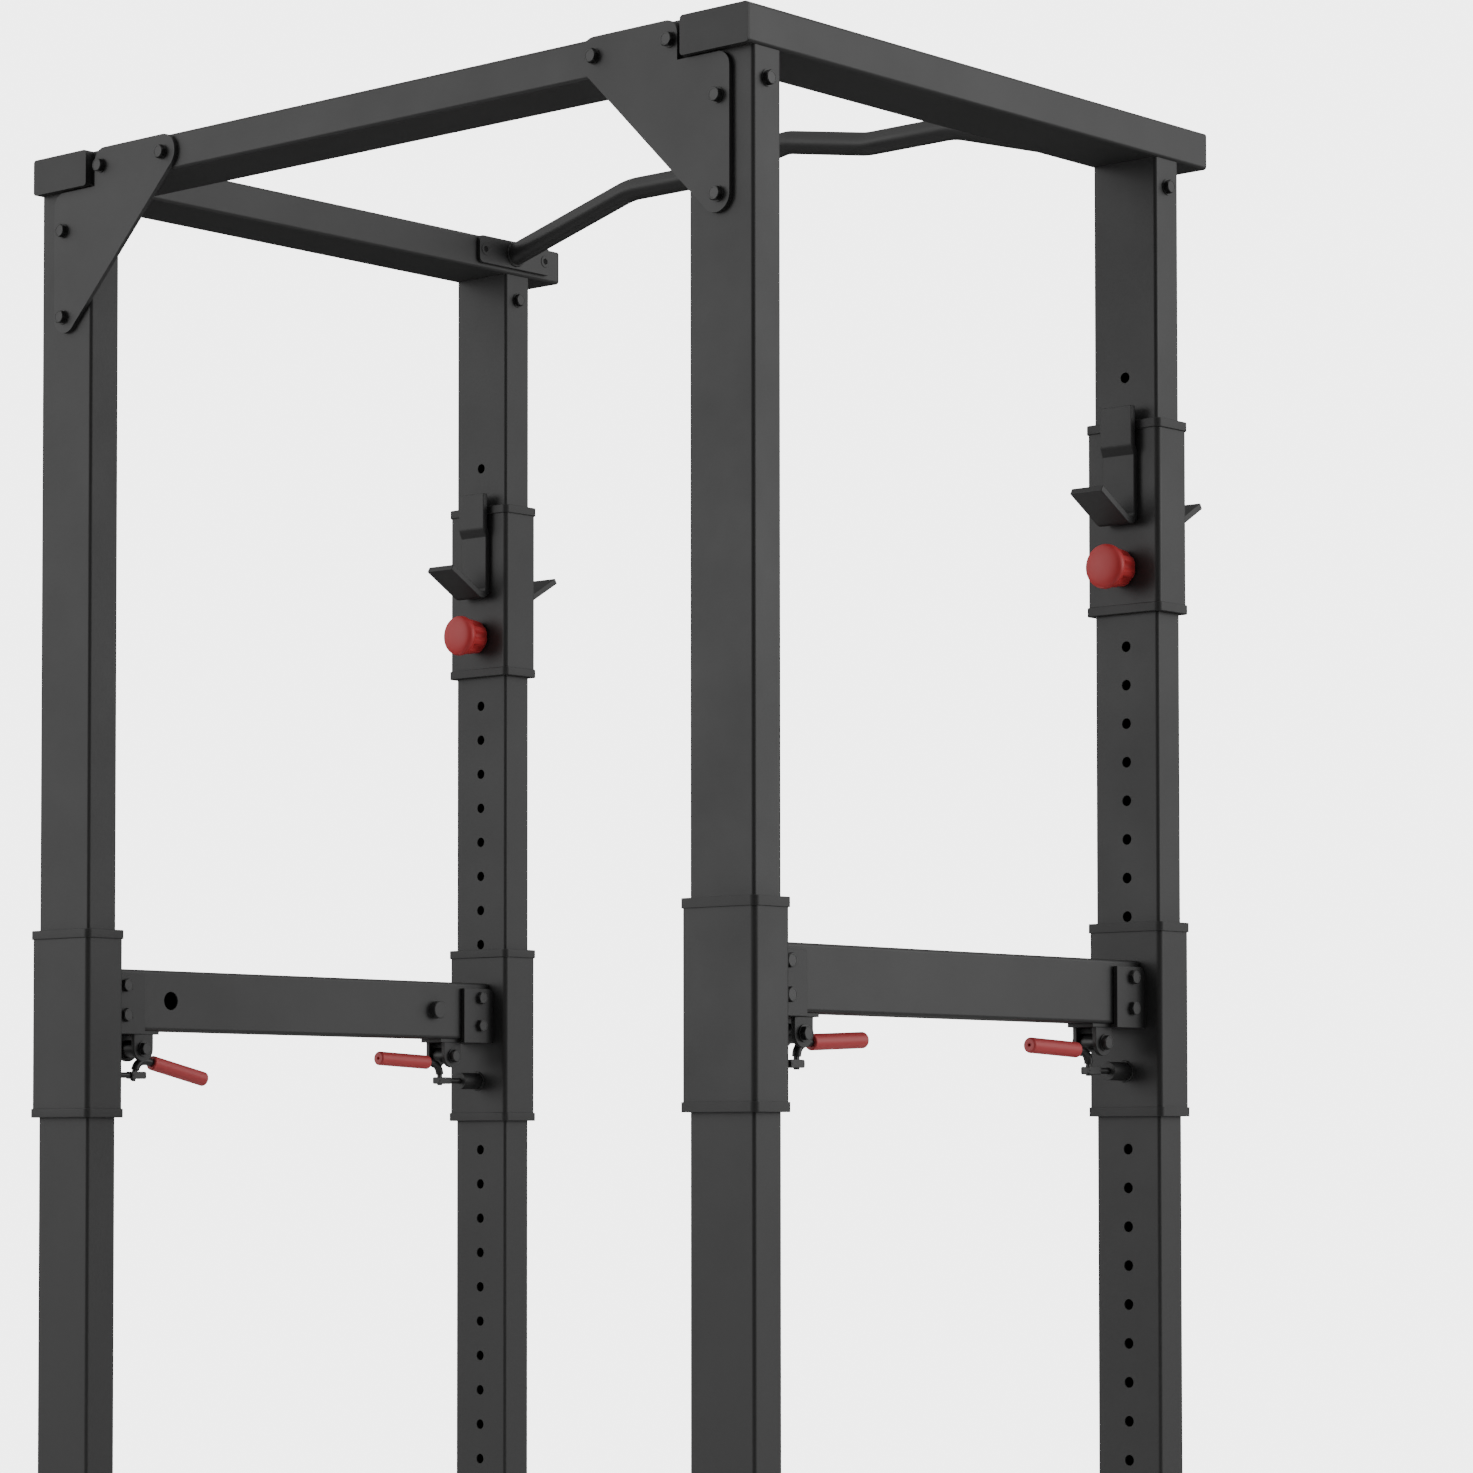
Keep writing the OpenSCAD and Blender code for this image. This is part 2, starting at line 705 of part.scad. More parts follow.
module lever(side, end) {
    arm_top = [14, lever_rod_z];
    arm_foot = [foot_y, foot_over - pivot_rise];
    arm_tilt = atan2(arm_top[0] - arm_foot[0], arm_top[1] - arm_foot[1]);
    color(DARK) at_pivot(side, end) difference() {
        union() {
            translate([-ear_in + 0.3, 0, 0]) along_x() cylinder(d = hub_d, h = 2 * ear_in - 0.6);
            translate([0, 0, lever_rod_z]) rotate([lever_rise_deg, 0, 0])
                along_y() cylinder(d = lever_rod_d, h = grip_start + grip_len - 12);
            translate([0, arm_foot[0], arm_foot[1]]) rotate([-arm_tilt, 0, 0])
                cylinder(d = lever_rod_d - 1, h = norm(arm_top - arm_foot));
            translate([0, arm_top[0], arm_top[1]]) sphere(d = lever_rod_d);
            translate([-foot_w / 2, foot_y - foot_t / 2, -pivot_rise - foot_under])
                cube([foot_w, foot_t, foot_over + foot_under + 4]);
        }
        translate([-ear_in, 0, 0]) along_x() cylinder(d = bolt_d + 0.1, h = 2 * ear_in);
    }
}

module grip(side, end) {
    r = grip_d / 2;
    color(RED) at_pivot(side, end) translate([0, 0, lever_rod_z]) rotate([lever_rise_deg, 0, 0])
        along_y() translate([0, 0, grip_start]) difference() {
            rotate_extrude() {
                square([r, grip_len - grip_round]);
                square([r - grip_round, grip_len]);
                intersection() {
                    translate([r - grip_round, grip_len - grip_round]) circle(grip_round);
                    square([r, grip_len]);
                }
            }
            translate([0, 0, -1]) cylinder(d = lever_rod_d + 0.1, h = grip_len - 11);
            translate([0, 0, grip_len - 12]) cylinder(d = 4, h = 20);
        }
}

// A stepped pin along +Y: its locking end, its spring seat and its rod.
module stepped_pin(reach, end_y) {
    tip_y = tube_y / 2 - reach;
    translate([0, tip_y, pin_z]) along_y() {
        cylinder(d = pin_d, h = seat_y - tip_y + 1);
        translate([0, 0, seat_y - tip_y]) cylinder(d = seat_d, h = seat_t);
        translate([0, 0, seat_y - tip_y]) cylinder(d = rod_d, h = end_y - seat_y);
    }
}

// The slotted clevis on the rod's end takes the lever's foot.
module lock_pin(side, end) {
    start = pivot_y - slot_in - clevis_wall;
    color(DARK) at_upright(side, end, safety_z) difference() {
        union() {
            stepped_pin(pin_reach, start + 1);
            translate([-clevis_w / 2, start, pin_z - clevis_h / 2])
                cube([clevis_w, slot_in + slot_out + 2 * clevis_wall, clevis_h]);
        }
        translate([-clevis_slot / 2, pivot_y - slot_in, pin_z - clevis_h])
            cube([clevis_slot, slot_in + slot_out, 2 * clevis_h]);
    }
}

// A helical spring along +Y between y0 and y1, as one swept wire.
module coil_spring(y0, y1, turns) {
    steps = turns * 14;
    sides = 6;
    rise = y1 - y0 - spring_wire;
    function point(i, k) =
        let (a = i * 360 / 14, b = k * 360 / sides, r = spring_r + spring_wire / 2 * cos(b))
        [r * cos(a), y0 + spring_wire / 2 + rise * i / steps + spring_wire / 2 * sin(b),
            r * sin(a)];
    points = [for (i = [0 : steps], k = [0 : sides - 1]) point(i, k)];
    skin = [for (i = [0 : steps - 1], k = [0 : sides - 1])
        let (n = (k + 1) % sides, p = i * sides)
        [p + k, p + n, p + sides + n, p + sides + k]];
    ends = [[for (k = [sides - 1 : -1 : 0]) k], [for (k = [0 : sides - 1]) steps * sides + k]];
    translate([0, 0, pin_z]) polyhedron(points, concat(skin, ends));
}

module lock_spring(side, end) {
    color(ZINC) at_upright(side, end, safety_z)
        coil_spring(seat_y + seat_t + spring_gap, face + housing_len - housing_wall,
            lock_spring_turns);
}

// ---- Hook carriages ----------------------------------------------------------------------

module hook_sleeve(side) {
    color(STEEL) at_upright(side, "front", hook_z) union() {
        sleeve_body();
        pin_housing(barrel_d, barrel_len, barrel_wall);
    }
}

module hook_liner(side) {
    color(BLACK) at_upright(side, "front", hook_z) liner_body();
}

// Centre line of a hook's plate: tab, joggle, back, tight bend and raised tongue.
hook_path = [
    [face + 10, 267.5], [face + 10, 217], [face + hook_t / 2, 205],
    [face + hook_t / 2, 110], [face + 78.3, 153]
];
hook_radii = [0, 8, 8, 11, 0];

function offset_point(p, a, d) = p + d * [-sin(a), cos(a)];
// Points of one side of a strip of plate that follows a path, d to the left of it.
function strip_side(path, radii, d) = [
    for (i = [0 : len(path) - 1])
        let (last = len(path) - 1,
            a0 = heading(path[max(i - 1, 0)], path[max(i, 1)]),
            a1 = heading(path[min(i, last - 1)], path[min(i + 1, last)]),
            turn = (a1 - a0 + 540) % 360 - 180, s = sign(turn), r = radii[i])
        each i == 0 || i == last ? [offset_point(path[i], a0, d)] :
            let (cut = r * tan(abs(turn) / 2),
                start = path[i] - cut * [cos(a0), sin(a0)],
                centre = offset_point(start, a0, s * r),
                steps = ceil(abs(turn) / 9))
            [for (k = [0 : steps]) offset_point(centre, a0 + turn * k / steps, d - s * r)]
];

module hook_plate() {
    points = concat(strip_side(hook_path, hook_radii, hook_t / 2),
        [for (i = [len(hook_side) - 1 : -1 : 0]) hook_side[i]]);
    translate([-hook_w / 2, 0, 0]) rotate([90, 0, 90]) linear_extrude(hook_w) polygon(points);
}
hook_side = strip_side(hook_path, hook_radii, -hook_t / 2);

module hook_inner(side) {
    color(STEEL) at_upright(side, "front", hook_z) hook_plate();
}

module hook_outer(side) {
    color(STEEL) at_upright(side, "front", hook_z) mirror([0, 1, 0]) hook_plate();
}

// ---- Pull knobs --------------------------------------------------------------------------

// Half outline of a knob from its skirt by the sleeve to its domed face.
module knob_outline() {
    r = knob_d / 2;
    polygon(concat(
        [[0, 0], [r - 13, 0], [r - 10, 4], [r - 5, 14], [r - 3, 24], [r - 3, 31]],
        [for (a = [-60 : 15 : 75]) [r - 5 + 5 * cos(a), 36 + 5 * sin(a)]],
        [for (a = [10 : 10 : 90]) [(r - 5) * cos(a), 41 + (knob_len - 41) * sin(a)]]));
}

module pull_knob(side) {
    flutes = 8;
    color(RED) at_upright(side, "front", hook_z) translate([0, knob_base, pin_z]) along_y()
        difference() {
            rotate_extrude() knob_outline();
            for (i = [0 : flutes - 1]) rotate([0, 0, (i + 0.5) * 360 / flutes])
                translate([knob_d / 2 + 1, 0, -1]) cylinder(d = 16, h = 30);
            translate([0, 0, -1]) cylinder(d = knob_bore, h = knob_depth + 1);
            cylinder(d = rod_bore, h = knob_len - 8);
        }
}

module pull_pin(side) {
    color(DARK) at_upright(side, "front", hook_z)
        stepped_pin(pull_reach, knob_base + knob_len - 8);
}

module pull_spring(side) {
    color(ZINC) at_upright(side, "front", hook_z)
        coil_spring(seat_y + seat_t + spring_gap, face + barrel_len - barrel_wall,
            pull_spring_turns);
}

// ---- Parts -------------------------------------------------------------------------------

upright("left", "rear");  // upright_rear_left
upright("right", "rear");  // upright_rear_right
upright("left", "front");  // upright_front_left
upright("right", "front");  // upright_front_right
top_beam("left");  // top_beam_left
top_beam("right");  // top_beam_right
rear_crossbeam(top_beam_z);  // rear_top_crossbeam
base_beam("left");  // base_beam_left
base_beam("right");  // base_beam_right
rear_crossbeam(base_beam_z);  // rear_base_crossbeam
gusset_plates();
beam_end_caps();
rubber_feet();
pullup_bar();
frame_bolts();
safety_rail("left");  // safety_rail_left
safety_sleeve("left", "rear");  // safety_sleeve_rear_left
safety_sleeve("left", "front");  // safety_sleeve_front_left
safety_liners("left");  // safety_liners_left
safety_brackets("left");  // safety_brackets_left
safety_bolts("left");  // safety_bolts_left
safety_rail("right");  // safety_rail_right
safety_sleeve("right", "rear");  // safety_sleeve_rear_right
safety_sleeve("right", "front");  // safety_sleeve_front_right
safety_liners("right");  // safety_liners_right
safety_brackets("right");  // safety_brackets_right
safety_bolts("right");  // safety_bolts_right
lever("left", "rear");  // lever_rear_left
lever("right", "rear");  // lever_rear_right
lever("left", "front");  // lever_front_left
lever("right", "front");  // lever_front_right
grip("left", "rear");  // grip_rear_left
grip("right", "rear");  // grip_rear_right
grip("left", "front");  // grip_front_left
grip("right", "front");  // grip_front_right
lock_pin("left", "rear");  // lock_pin_rear_left
lock_pin("right", "rear");  // lock_pin_rear_right
lock_pin("left", "front");  // lock_pin_front_left
lock_pin("right", "front");  // lock_pin_front_right
lock_spring("left", "rear");  // lock_spring_rear_left
lock_spring("right", "rear");  // lock_spring_rear_right
lock_spring("left", "front");  // lock_spring_front_left
lock_spring("right", "front");  // lock_spring_front_right
hook_sleeve("left");  // hook_sleeve_left
hook_liner("left");  // hook_liner_left
hook_inner("left");  // hook_inner_left
hook_outer("left");  // hook_outer_left
pull_knob("left");  // pull_knob_left
pull_pin("left");  // pull_pin_left
pull_spring("left");  // pull_spring_left
hook_sleeve("right");  // hook_sleeve_right
hook_liner("right");  // hook_liner_right
hook_inner("right");  // hook_inner_right
hook_outer("right");  // hook_outer_right
pull_knob("right");  // pull_knob_right
pull_pin("right");  // pull_pin_right
pull_spring("right");  // pull_spring_right
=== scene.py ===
import math

import bmesh
import bpy
from mathutils import Matrix, Vector, noise


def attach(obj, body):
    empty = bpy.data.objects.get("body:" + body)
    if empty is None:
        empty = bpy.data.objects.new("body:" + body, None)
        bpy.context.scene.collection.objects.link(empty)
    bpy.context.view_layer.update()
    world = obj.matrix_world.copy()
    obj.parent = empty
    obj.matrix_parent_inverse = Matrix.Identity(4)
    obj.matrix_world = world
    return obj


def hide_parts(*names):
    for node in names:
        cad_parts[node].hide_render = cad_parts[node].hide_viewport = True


# Every length below is in metres and every position is in the row's frame: origin on the
# floor under the cage's middle, +X across, +Y from the closed rear to the open front, +Z up.
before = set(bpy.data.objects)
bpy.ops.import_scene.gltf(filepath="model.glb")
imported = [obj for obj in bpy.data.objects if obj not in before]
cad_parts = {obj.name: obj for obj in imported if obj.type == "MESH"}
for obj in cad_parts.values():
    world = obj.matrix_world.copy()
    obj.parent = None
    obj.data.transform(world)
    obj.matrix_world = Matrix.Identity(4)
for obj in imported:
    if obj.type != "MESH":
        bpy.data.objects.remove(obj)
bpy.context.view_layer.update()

SPAN_X, SPAN_Y = 0.580, 0.400          # half the distances between uprights' centres
UPRIGHT_HALF = 0.050                   # uprights' half width across the cage
SAFETY_Z, HOOK_Z = 0.962, 1.612        # carriages' lower ends
PIN_Z = 0.058                          # lock pins above that
FACE = 0.032                           # sleeve face from its upright's centre
SIDES = {"left": -1, "right": 1}
ENDS = {"rear": 1, "front": -1}        # sign of the inward direction along Y


# ---- Materials ------------------------------------------------------------------------

RUBBED_WIDTH = 0.0012                  # how far in from an edge the coat looks rubbed
DRIFT_SCALE, BLOTCH_SCALE = 7.0, 60.0  # broad colour drift, patchy rubbing
BUMP_DISTANCE = 0.0004


class Nodes:
    """Short way to add and wire nodes in one material's tree."""

    def __init__(self, name):
        self.material = bpy.data.materials.new(name)
        self.material.use_nodes = True
        self.tree = self.material.node_tree
        self.shader = self.tree.nodes["Principled BSDF"]

    def add(self, kind, inputs=None, **settings):
        node = self.tree.nodes.new("ShaderNode" + kind)
        for key, value in settings.items():
            setattr(node, key, value)
        for key, value in (inputs or {}).items():
            if isinstance(value, bpy.types.NodeSocket):
                self.tree.links.new(value, node.inputs[key])
            else:
                node.inputs[key].default_value = value
        return node

    def wire(self, source, socket):
        self.tree.links.new(source, self.shader.inputs[socket])


def grey(value):
    return (value, value, value, 1.0)


def painted(name, colour, worn, rough, grain=900.0, grain_depth=0.06, edge=0.25, metal=0.0,
            spread=0.12):
    """A surface with fine grain, broad colour drift, faint scuffs and lighter edges."""
    n = Nodes(name)
    n.shader.inputs["Metallic"].default_value = metal
    place = n.add("TexCoord").outputs["Object"]

    drift = n.add("TexNoise", {"Vector": place, "Scale": DRIFT_SCALE, "Detail": 4.0,
                               "Roughness": 0.6})
    fine = n.add("TexNoise", {"Vector": place, "Scale": grain, "Detail": 2.0})
    low = tuple(c * (1 - spread) for c in colour[:3]) + (1.0,)
    high = tuple(min(1.0, c * (1 + spread)) for c in colour[:3]) + (1.0,)
    tone = n.add("MixRGB", {"Fac": drift.outputs["Fac"], "Color1": low, "Color2": high})
    speck = n.add("MapRange", {"Value": fine.outputs["Fac"], "From Min": 0.3, "From Max": 0.7,
                               "To Min": 0.0, "To Max": 0.22})
    grained = n.add("MixRGB", {"Fac": speck.outputs["Result"], "Color1": tone.outputs["Color"],
                               "Color2": high})

    # Edges: where the normal of a slightly rounded surface leaves the true one.
    soft = n.add("Bevel", {"Radius": RUBBED_WIDTH}, samples=4)
    true = n.add("NewGeometry").outputs["Normal"]
    same = n.add("VectorMath", {0: soft.outputs["Normal"], 1: true}, operation="DOT_PRODUCT")
    rubbed = n.add("MapRange", {"Value": same.outputs["Value"], "From Min": 0.995,
                                "From Max": 0.90, "To Min": 0.0, "To Max": edge})
    blotch = n.add("TexNoise", {"Vector": place, "Scale": BLOTCH_SCALE, "Detail": 3.0})
    broken = n.add("MapRange", {"Value": blotch.outputs["Fac"], "From Min": 0.42,
                                "From Max": 0.62, "To Min": 0.25, "To Max": 1.0})
    amount = n.add("Math", {0: rubbed.outputs["Result"], 1: broken.outputs["Result"]},
                   operation="MULTIPLY")
    shown = n.add("MixRGB", {"Fac": amount.outputs["Value"], "Color1": grained.outputs["Color"],
                             "Color2": worn})
    n.wire(shown.outputs["Color"], "Base Color")

    sheen = n.add("MapRange", {"Value": drift.outputs["Fac"], "From Min": 0.3, "From Max": 0.7,
                               "To Min": rough - 0.03, "To Max": rough + 0.04})
    n.wire(sheen.outputs["Result"], "Roughness")
    bump = n.add("Bump", {"Strength": grain_depth, "Distance": BUMP_DISTANCE,
                          "Height": fine.outputs["Fac"]})
    n.wire(bump.outputs["Normal"], "Normal")
    return n.material


COAT = painted("charcoal_coat", grey(0.036), grey(0.075), 0.46)
# Beams, gussets and rails wear the uprights' charcoal coat. These two lighter copies of it are
# painted light, standing in for the light that falls more on them.
BEAM_COAT_PAINTED_LIGHT = painted("beam_coat_painted_light", grey(0.050), grey(0.088), 0.46)
RAIL_COAT_PAINTED_LIGHT = painted("rail_coat_painted_light", grey(0.045), grey(0.08), 0.46)
BAR_COAT = painted("bar_coat", grey(0.040), grey(0.075), 0.42)
BLACK_STEEL = painted("black_steel", grey(0.032), grey(0.09), 0.36, grain=1400.0, edge=0.4,
                      metal=0.05)
NYLON = painted("black_nylon", grey(0.034), grey(0.06), 0.5, grain=700.0, grain_depth=0.08,
                edge=0.15)
RED = painted("knob_red", (0.70, 0.052, 0.056, 1.0), (0.74, 0.11, 0.105, 1.0), 0.42,
              grain=1100.0, grain_depth=0.05, edge=0.2, spread=0.07)
GRIP_RED = painted("grip_red", (0.70, 0.082, 0.088, 1.0), (0.74, 0.14, 0.135, 1.0), 0.46,
                   grain=1100.0, grain_depth=0.05, edge=0.2, spread=0.07)
RUBBER = painted("foot_rubber", grey(0.014), grey(0.03), 0.75, grain=500.0, grain_depth=0.25)
ZINC = painted("zinc_plate", grey(0.5), grey(0.62), 0.32, grain=1500.0, metal=1.0)
DARK_STEEL = painted("dark_pin", grey(0.010), grey(0.03), 0.4, grain=1400.0)
# Near-black for the bottoms of the screw sockets: painted shade, not a colour the screws have.
SOCKET_SHADE = painted("socket_shade_paint", grey(0.006), grey(0.01), 0.8, edge=0.0)


# ---- Mesh building --------------------------------------------------------------------

SOFT_ANGLE = 38.0                      # CAD edges sharper than this are rounded, degrees
# Edges sharper than this stay sharp in the shading, degrees.
PLAIN_SMOOTH, BOLT_SMOOTH, TURNED_SMOOTH, MOULDED_SMOOTH, WELD_SMOOTH = 35, 28, 40, 50, 60


def mesh_object(name, build, material, smooth=PLAIN_SMOOTH, weighted=True):
    """One object from a function that fills a bmesh; smooth is the sharp-edge angle."""
    bm = bmesh.new()
    build(bm)
    bmesh.ops.recalc_face_normals(bm, faces=bm.faces)
    mesh = bpy.data.meshes.new(name)
    bm.to_mesh(mesh)
    bm.free()
    for polygon in mesh.polygons:
        polygon.use_smooth = True
    mesh.set_sharp_from_angle(angle=math.radians(smooth))
    mesh.materials.append(material)
    obj = bpy.data.objects.new(name, mesh)
    bpy.context.scene.collection.objects.link(obj)
    if weighted:
        normals = obj.modifiers.new("even_normals", "WEIGHTED_NORMAL")
        normals.keep_sharp = True
        normals.weight = 80
    return obj


def softened(node, material, width):
    """The CAD node's own shape with its sharp edges rounded."""
    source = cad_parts[node]

    def build(bm):
        bm.from_mesh(source.data)
        bmesh.ops.remove_doubles(bm, verts=bm.verts, dist=2e-6)
        bmesh.ops.dissolve_limit(bm, angle_limit=math.radians(0.5), verts=bm.verts,
                                 edges=bm.edges)
        sharp = [e for e in bm.edges if len(e.link_faces) == 2
                 and e.calc_face_angle(0.0) > math.radians(SOFT_ANGLE)]
        bmesh.ops.bevel(bm, geom=sharp, offset=width, offset_type="OFFSET",
                        segments=2, profile=0.5, affect="EDGES", clamp_overlap=True)

    obj = mesh_object(node + "_soft", build, material)
    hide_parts(node)
    return obj


def paint(names, material):
    """CAD nodes that keep their shape and take a finish here."""
    for name in names:
        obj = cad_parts[name]
        obj.data.materials.clear()
        obj.data.materials.append(material)


def placed(origin, axis, up=(0, 0, 1)):
    """Matrix whose local +Z runs along axis from origin; up must not be along axis."""
    z = Vector(axis).normalized()
    x = Vector(up).cross(z).normalized()
    y = z.cross(x)
    rows = Matrix((x, y, z)).transposed().to_4x4()
    return Matrix.Translation(Vector(origin)) @ rows


def loft(bm, rings, closed_start=True, closed_end=True):
    """Skin through rings of the same length, each a list of points."""
    made = [[bm.verts.new(p) for p in ring] for ring in rings]
    count = len(rings[0])
    for a, b in zip(made, made[1:]):
        for i in range(count):
            j = (i + 1) % count
            bm.faces.new((a[i], a[j], b[j], b[i]))
    if closed_start:
        bm.faces.new(list(reversed(made[0])))
    if closed_end:
        bm.faces.new(made[-1])


def ring_points(matrix, radius_at, height, steps):
    """Points round local +Z at a height; radius_at takes the angle."""
    points = []
    for i in range(steps):
        a = 2 * math.pi * i / steps
        r = radius_at(a)
        points.append(matrix @ Vector((r * math.cos(a), r * math.sin(a), height)))
    return points


def circle(radius):
    return lambda a: radius


def hexagon(flats):
    """Radius by angle of a hexagon that measures flats across its flats."""
    return lambda a: flats / 2 / math.cos((a + math.pi / 6) % (math.pi / 3) - math.pi / 6)


def lathe(bm, matrix, profile, steps=64):
    """Turned shape from (radius, height) pairs."""
    loft(bm, [ring_points(matrix, circle(r), z, steps) for r, z in profile])


def bezier(start, corner, end, parts):
    """Points of the curve that bends from start to end near corner."""
    return [start * (1 - t) ** 2 + corner * 2 * t * (1 - t) + end * t ** 2
            for t in (k / parts for k in range(parts + 1))]


def rounded(profile, corner=0.0006):
    """The profile with each inner corner cut to a small arc."""
    out = [profile[0]]
    for before, here, after in zip(profile, profile[1:], profile[2:]):
        p, q, r = Vector(before), Vector(here), Vector(after)
        size = min(corner, (p - q).length * 0.45, (r - q).length * 0.45)
        start = q + (p - q).normalized() * size
        end = q + (r - q).normalized() * size
        out += [tuple(point) for point in bezier(start, q, end, 3)]
    out.append(profile[-1])
    return out


def rounded_plate(bm, matrix, width, height, corner, thickness, edge=0.0008):
    """Plate on local z = 0 with round corners and softened edges."""
    parts = 8

    def outline(inset, z):
        points = []
        for k, (sx, sy) in enumerate(((1, 1), (-1, 1), (-1, -1), (1, -1))):
            for i in range(parts + 1):
                a = math.pi / 2 * (k + i / parts)
                r = corner - inset
                points.append(matrix @ Vector((sx * (width / 2 - corner) + r * math.cos(a),
                                               sy * (height / 2 - corner) + r * math.sin(a),
                                               z)))
        return points

    loft(bm, [outline(edge, 0), outline(edge * 0.3, edge * 0.3), outline(0, edge),
              outline(0, thickness - edge), outline(edge * 0.3, thickness - edge * 0.3),
              outline(edge, thickness)])


def arc_path(corners, radii, parts):
    """Straight stretches joined by arcs: points, in any plane."""
    points = [Vector(corners[0])]
    for i in range(1, len(corners) - 1):
        p, q, r = (Vector(c) for c in corners[i - 1:i + 2])
        a, b = (p - q).normalized(), (r - q).normalized()
        half = a.angle(b) / 2
        reach = min(radii[i] / math.tan(half), (p - q).length * 0.49, (r - q).length * 0.49)
        radius = reach * math.tan(half)
        centre = q + (a + b).normalized() * (radius / math.sin(half))
        start, end = q + a * reach - centre, q + b * reach - centre
        total = start.angle(end)
        for k in range(parts + 1):
            t = k / parts
            w0 = math.sin((1 - t) * total) / math.sin(total)
            w1 = math.sin(t * total) / math.sin(total)
            points.append(centre + start * w0 + end * w1)
    points.append(Vector(corners[-1]))
    return points


def sweep(bm, points, radius, sides, normal=(1, 0, 0)):
    """Round rod along points that lie in the plane with that normal."""
    flat = Vector(normal).normalized()
    rings = []
    for i, p in enumerate(points):
        along = (points[min(i + 1, len(points) - 1)] - points[max(i - 1, 0)]).normalized()
        side = along.cross(flat).normalized()
        rings.append([p + (flat * math.cos(a) + side * math.sin(a)) * radius
                      for a in (2 * math.pi * k / sides for k in range(sides))])
    loft(bm, rings)


def hexagon_head(bm, matrix, flats, height):
    """A chamfered hexagon with a slightly dished top, standing on local z = 0."""
    steps = 72
    chamfer = flats / 2 * 0.95          # radius where the chamfer starts
    slope, dish = 0.6, 0.0003
    outside = hexagon(flats)

    crown = []
    for i in range(steps):
        a = 2 * math.pi * i / steps
        r = outside(a)
        z = height - max(0.0, (r - chamfer) * slope)
        crown.append(matrix @ Vector((r * math.cos(a), r * math.sin(a), z)))

    loft(bm, [ring_points(matrix, outside, 0.0, steps), crown,
              ring_points(matrix, circle(chamfer), height, steps),
              ring_points(matrix, circle(chamfer * 0.86), height, steps),
              ring_points(matrix, circle(chamfer * 0.82), height - dish, steps)])


def bolt(bm, origin, axis, washer=0.010, washer_t=0.002, flats=0.016, height=0.0065, turn=0.0):
    """Washer and hexagon head on the plane through origin; axis points out of the head."""
    matrix = placed(origin, axis) @ Matrix.Rotation(turn, 4, "Z")
    base = 0.0
    if washer:
        lathe(bm, matrix, rounded([(washer * 0.5, 0.0), (washer, 0.0), (washer, washer_t),
                                   (washer * 0.5, washer_t)], 0.0005))
        base = washer_t
    hexagon_head(bm, matrix @ Matrix.Translation((0, 0, base)), flats, height)


def nut(bm, origin, axis, shank, flats=0.016, height=0.008, stand=0.003):
    """Nut on the plane through origin with the bolt's end standing out of it."""
    matrix = placed(origin, axis)
    hexagon_head(bm, matrix, flats, height)
    end, chamfer = height + stand, 0.001
    lathe(bm, matrix, [(shank / 2, 0.0), (shank / 2, end - chamfer),
                       (shank / 2 - chamfer, end)], 32)


def weld_ring(bm, matrix, radius, bead, seed):
    """A rippled weld bead round local +Z."""
    steps, sides, ripple = 96, 10, 0.0011
    rings = []
    for i in range(steps + 1):
        a = 2 * math.pi * i / steps
        wobble = noise.noise(Vector((math.cos(a) * 3, math.sin(a) * 3, seed)))
        size = bead * (1 + 0.12 * math.sin(a * radius / ripple) + 0.18 * wobble)
        centre = Vector((radius * math.cos(a), radius * math.sin(a), 0))
        out = Vector((math.cos(a), math.sin(a), 0))
        rings.append([matrix @ (centre + out * (size * math.cos(b))
                                + Vector((0, 0, size * math.sin(b))))
                      for b in (2 * math.pi * k / sides for k in range(sides))])
    loft(bm, rings, False, False)


def weld_line(bm, start, end, bead, seed):
    """A rippled weld bead along a straight seam, thinner towards its ends."""
    sides, pitch, run_out = 8, 0.0012, 0.02
    start, end = Vector(start), Vector(end)
    length = (end - start).length
    count = max(8, int(length / pitch))
    along = (end - start) / length
    side = along.orthogonal().normalized()
    other = along.cross(side)
    rings = []
    for i in range(count + 1):
        t = i / count
        taper = min(1.0, 6 * min(t, 1 - t) * length / run_out + 0.15)
        size = bead * taper * (1 + 0.15 * math.sin(i * 1.7)
                               + 0.15 * noise.noise(Vector((i * 0.13, seed, 0))))
        centre = start + along * (length * t)
        rings.append([centre + side * (size * math.cos(b)) + other * (size * math.sin(b))
                      for b in (2 * math.pi * k / sides for k in range(sides))])
    loft(bm, rings)


# ---- Frame ----------------------------------------------------------------------------

# Gusset bolts: how far towards the cage's middle and how far from the beam's axis.
GUSSET_BOLTS = ((0.075, 0.0), (0.196, 0.0), (0.0, 0.0775), (0.0, 0.1935))
GUSSET_FACE_Y = -0.431
TOP_BEAM_Z, BASE_BEAM_Z = 2.226, 0.034
HEAD_TURN = {"gusset": 0.7, "tie": 0.5, "rail": 0.8}   # from one bolt to the next, radians
GUSSET_HEAD = {"washer": 0.0097, "washer_t": 0.0016, "flats": 0.0158, "height": 0.0064}

TIE_BOLTS_Z = (0.094, 2.166)
TIE_HEAD = {"washer": 0.0105, "washer_t": 0.0012, "flats": 0.0158, "height": 0.0062}
TIE_NUT = {"shank": 0.010, "flats": 0.0158, "height": 0.0062, "stand": 0.0018}

paint(["upright_rear_left", "upright_rear_right", "upright_front_left",
       "upright_front_right"], COAT)
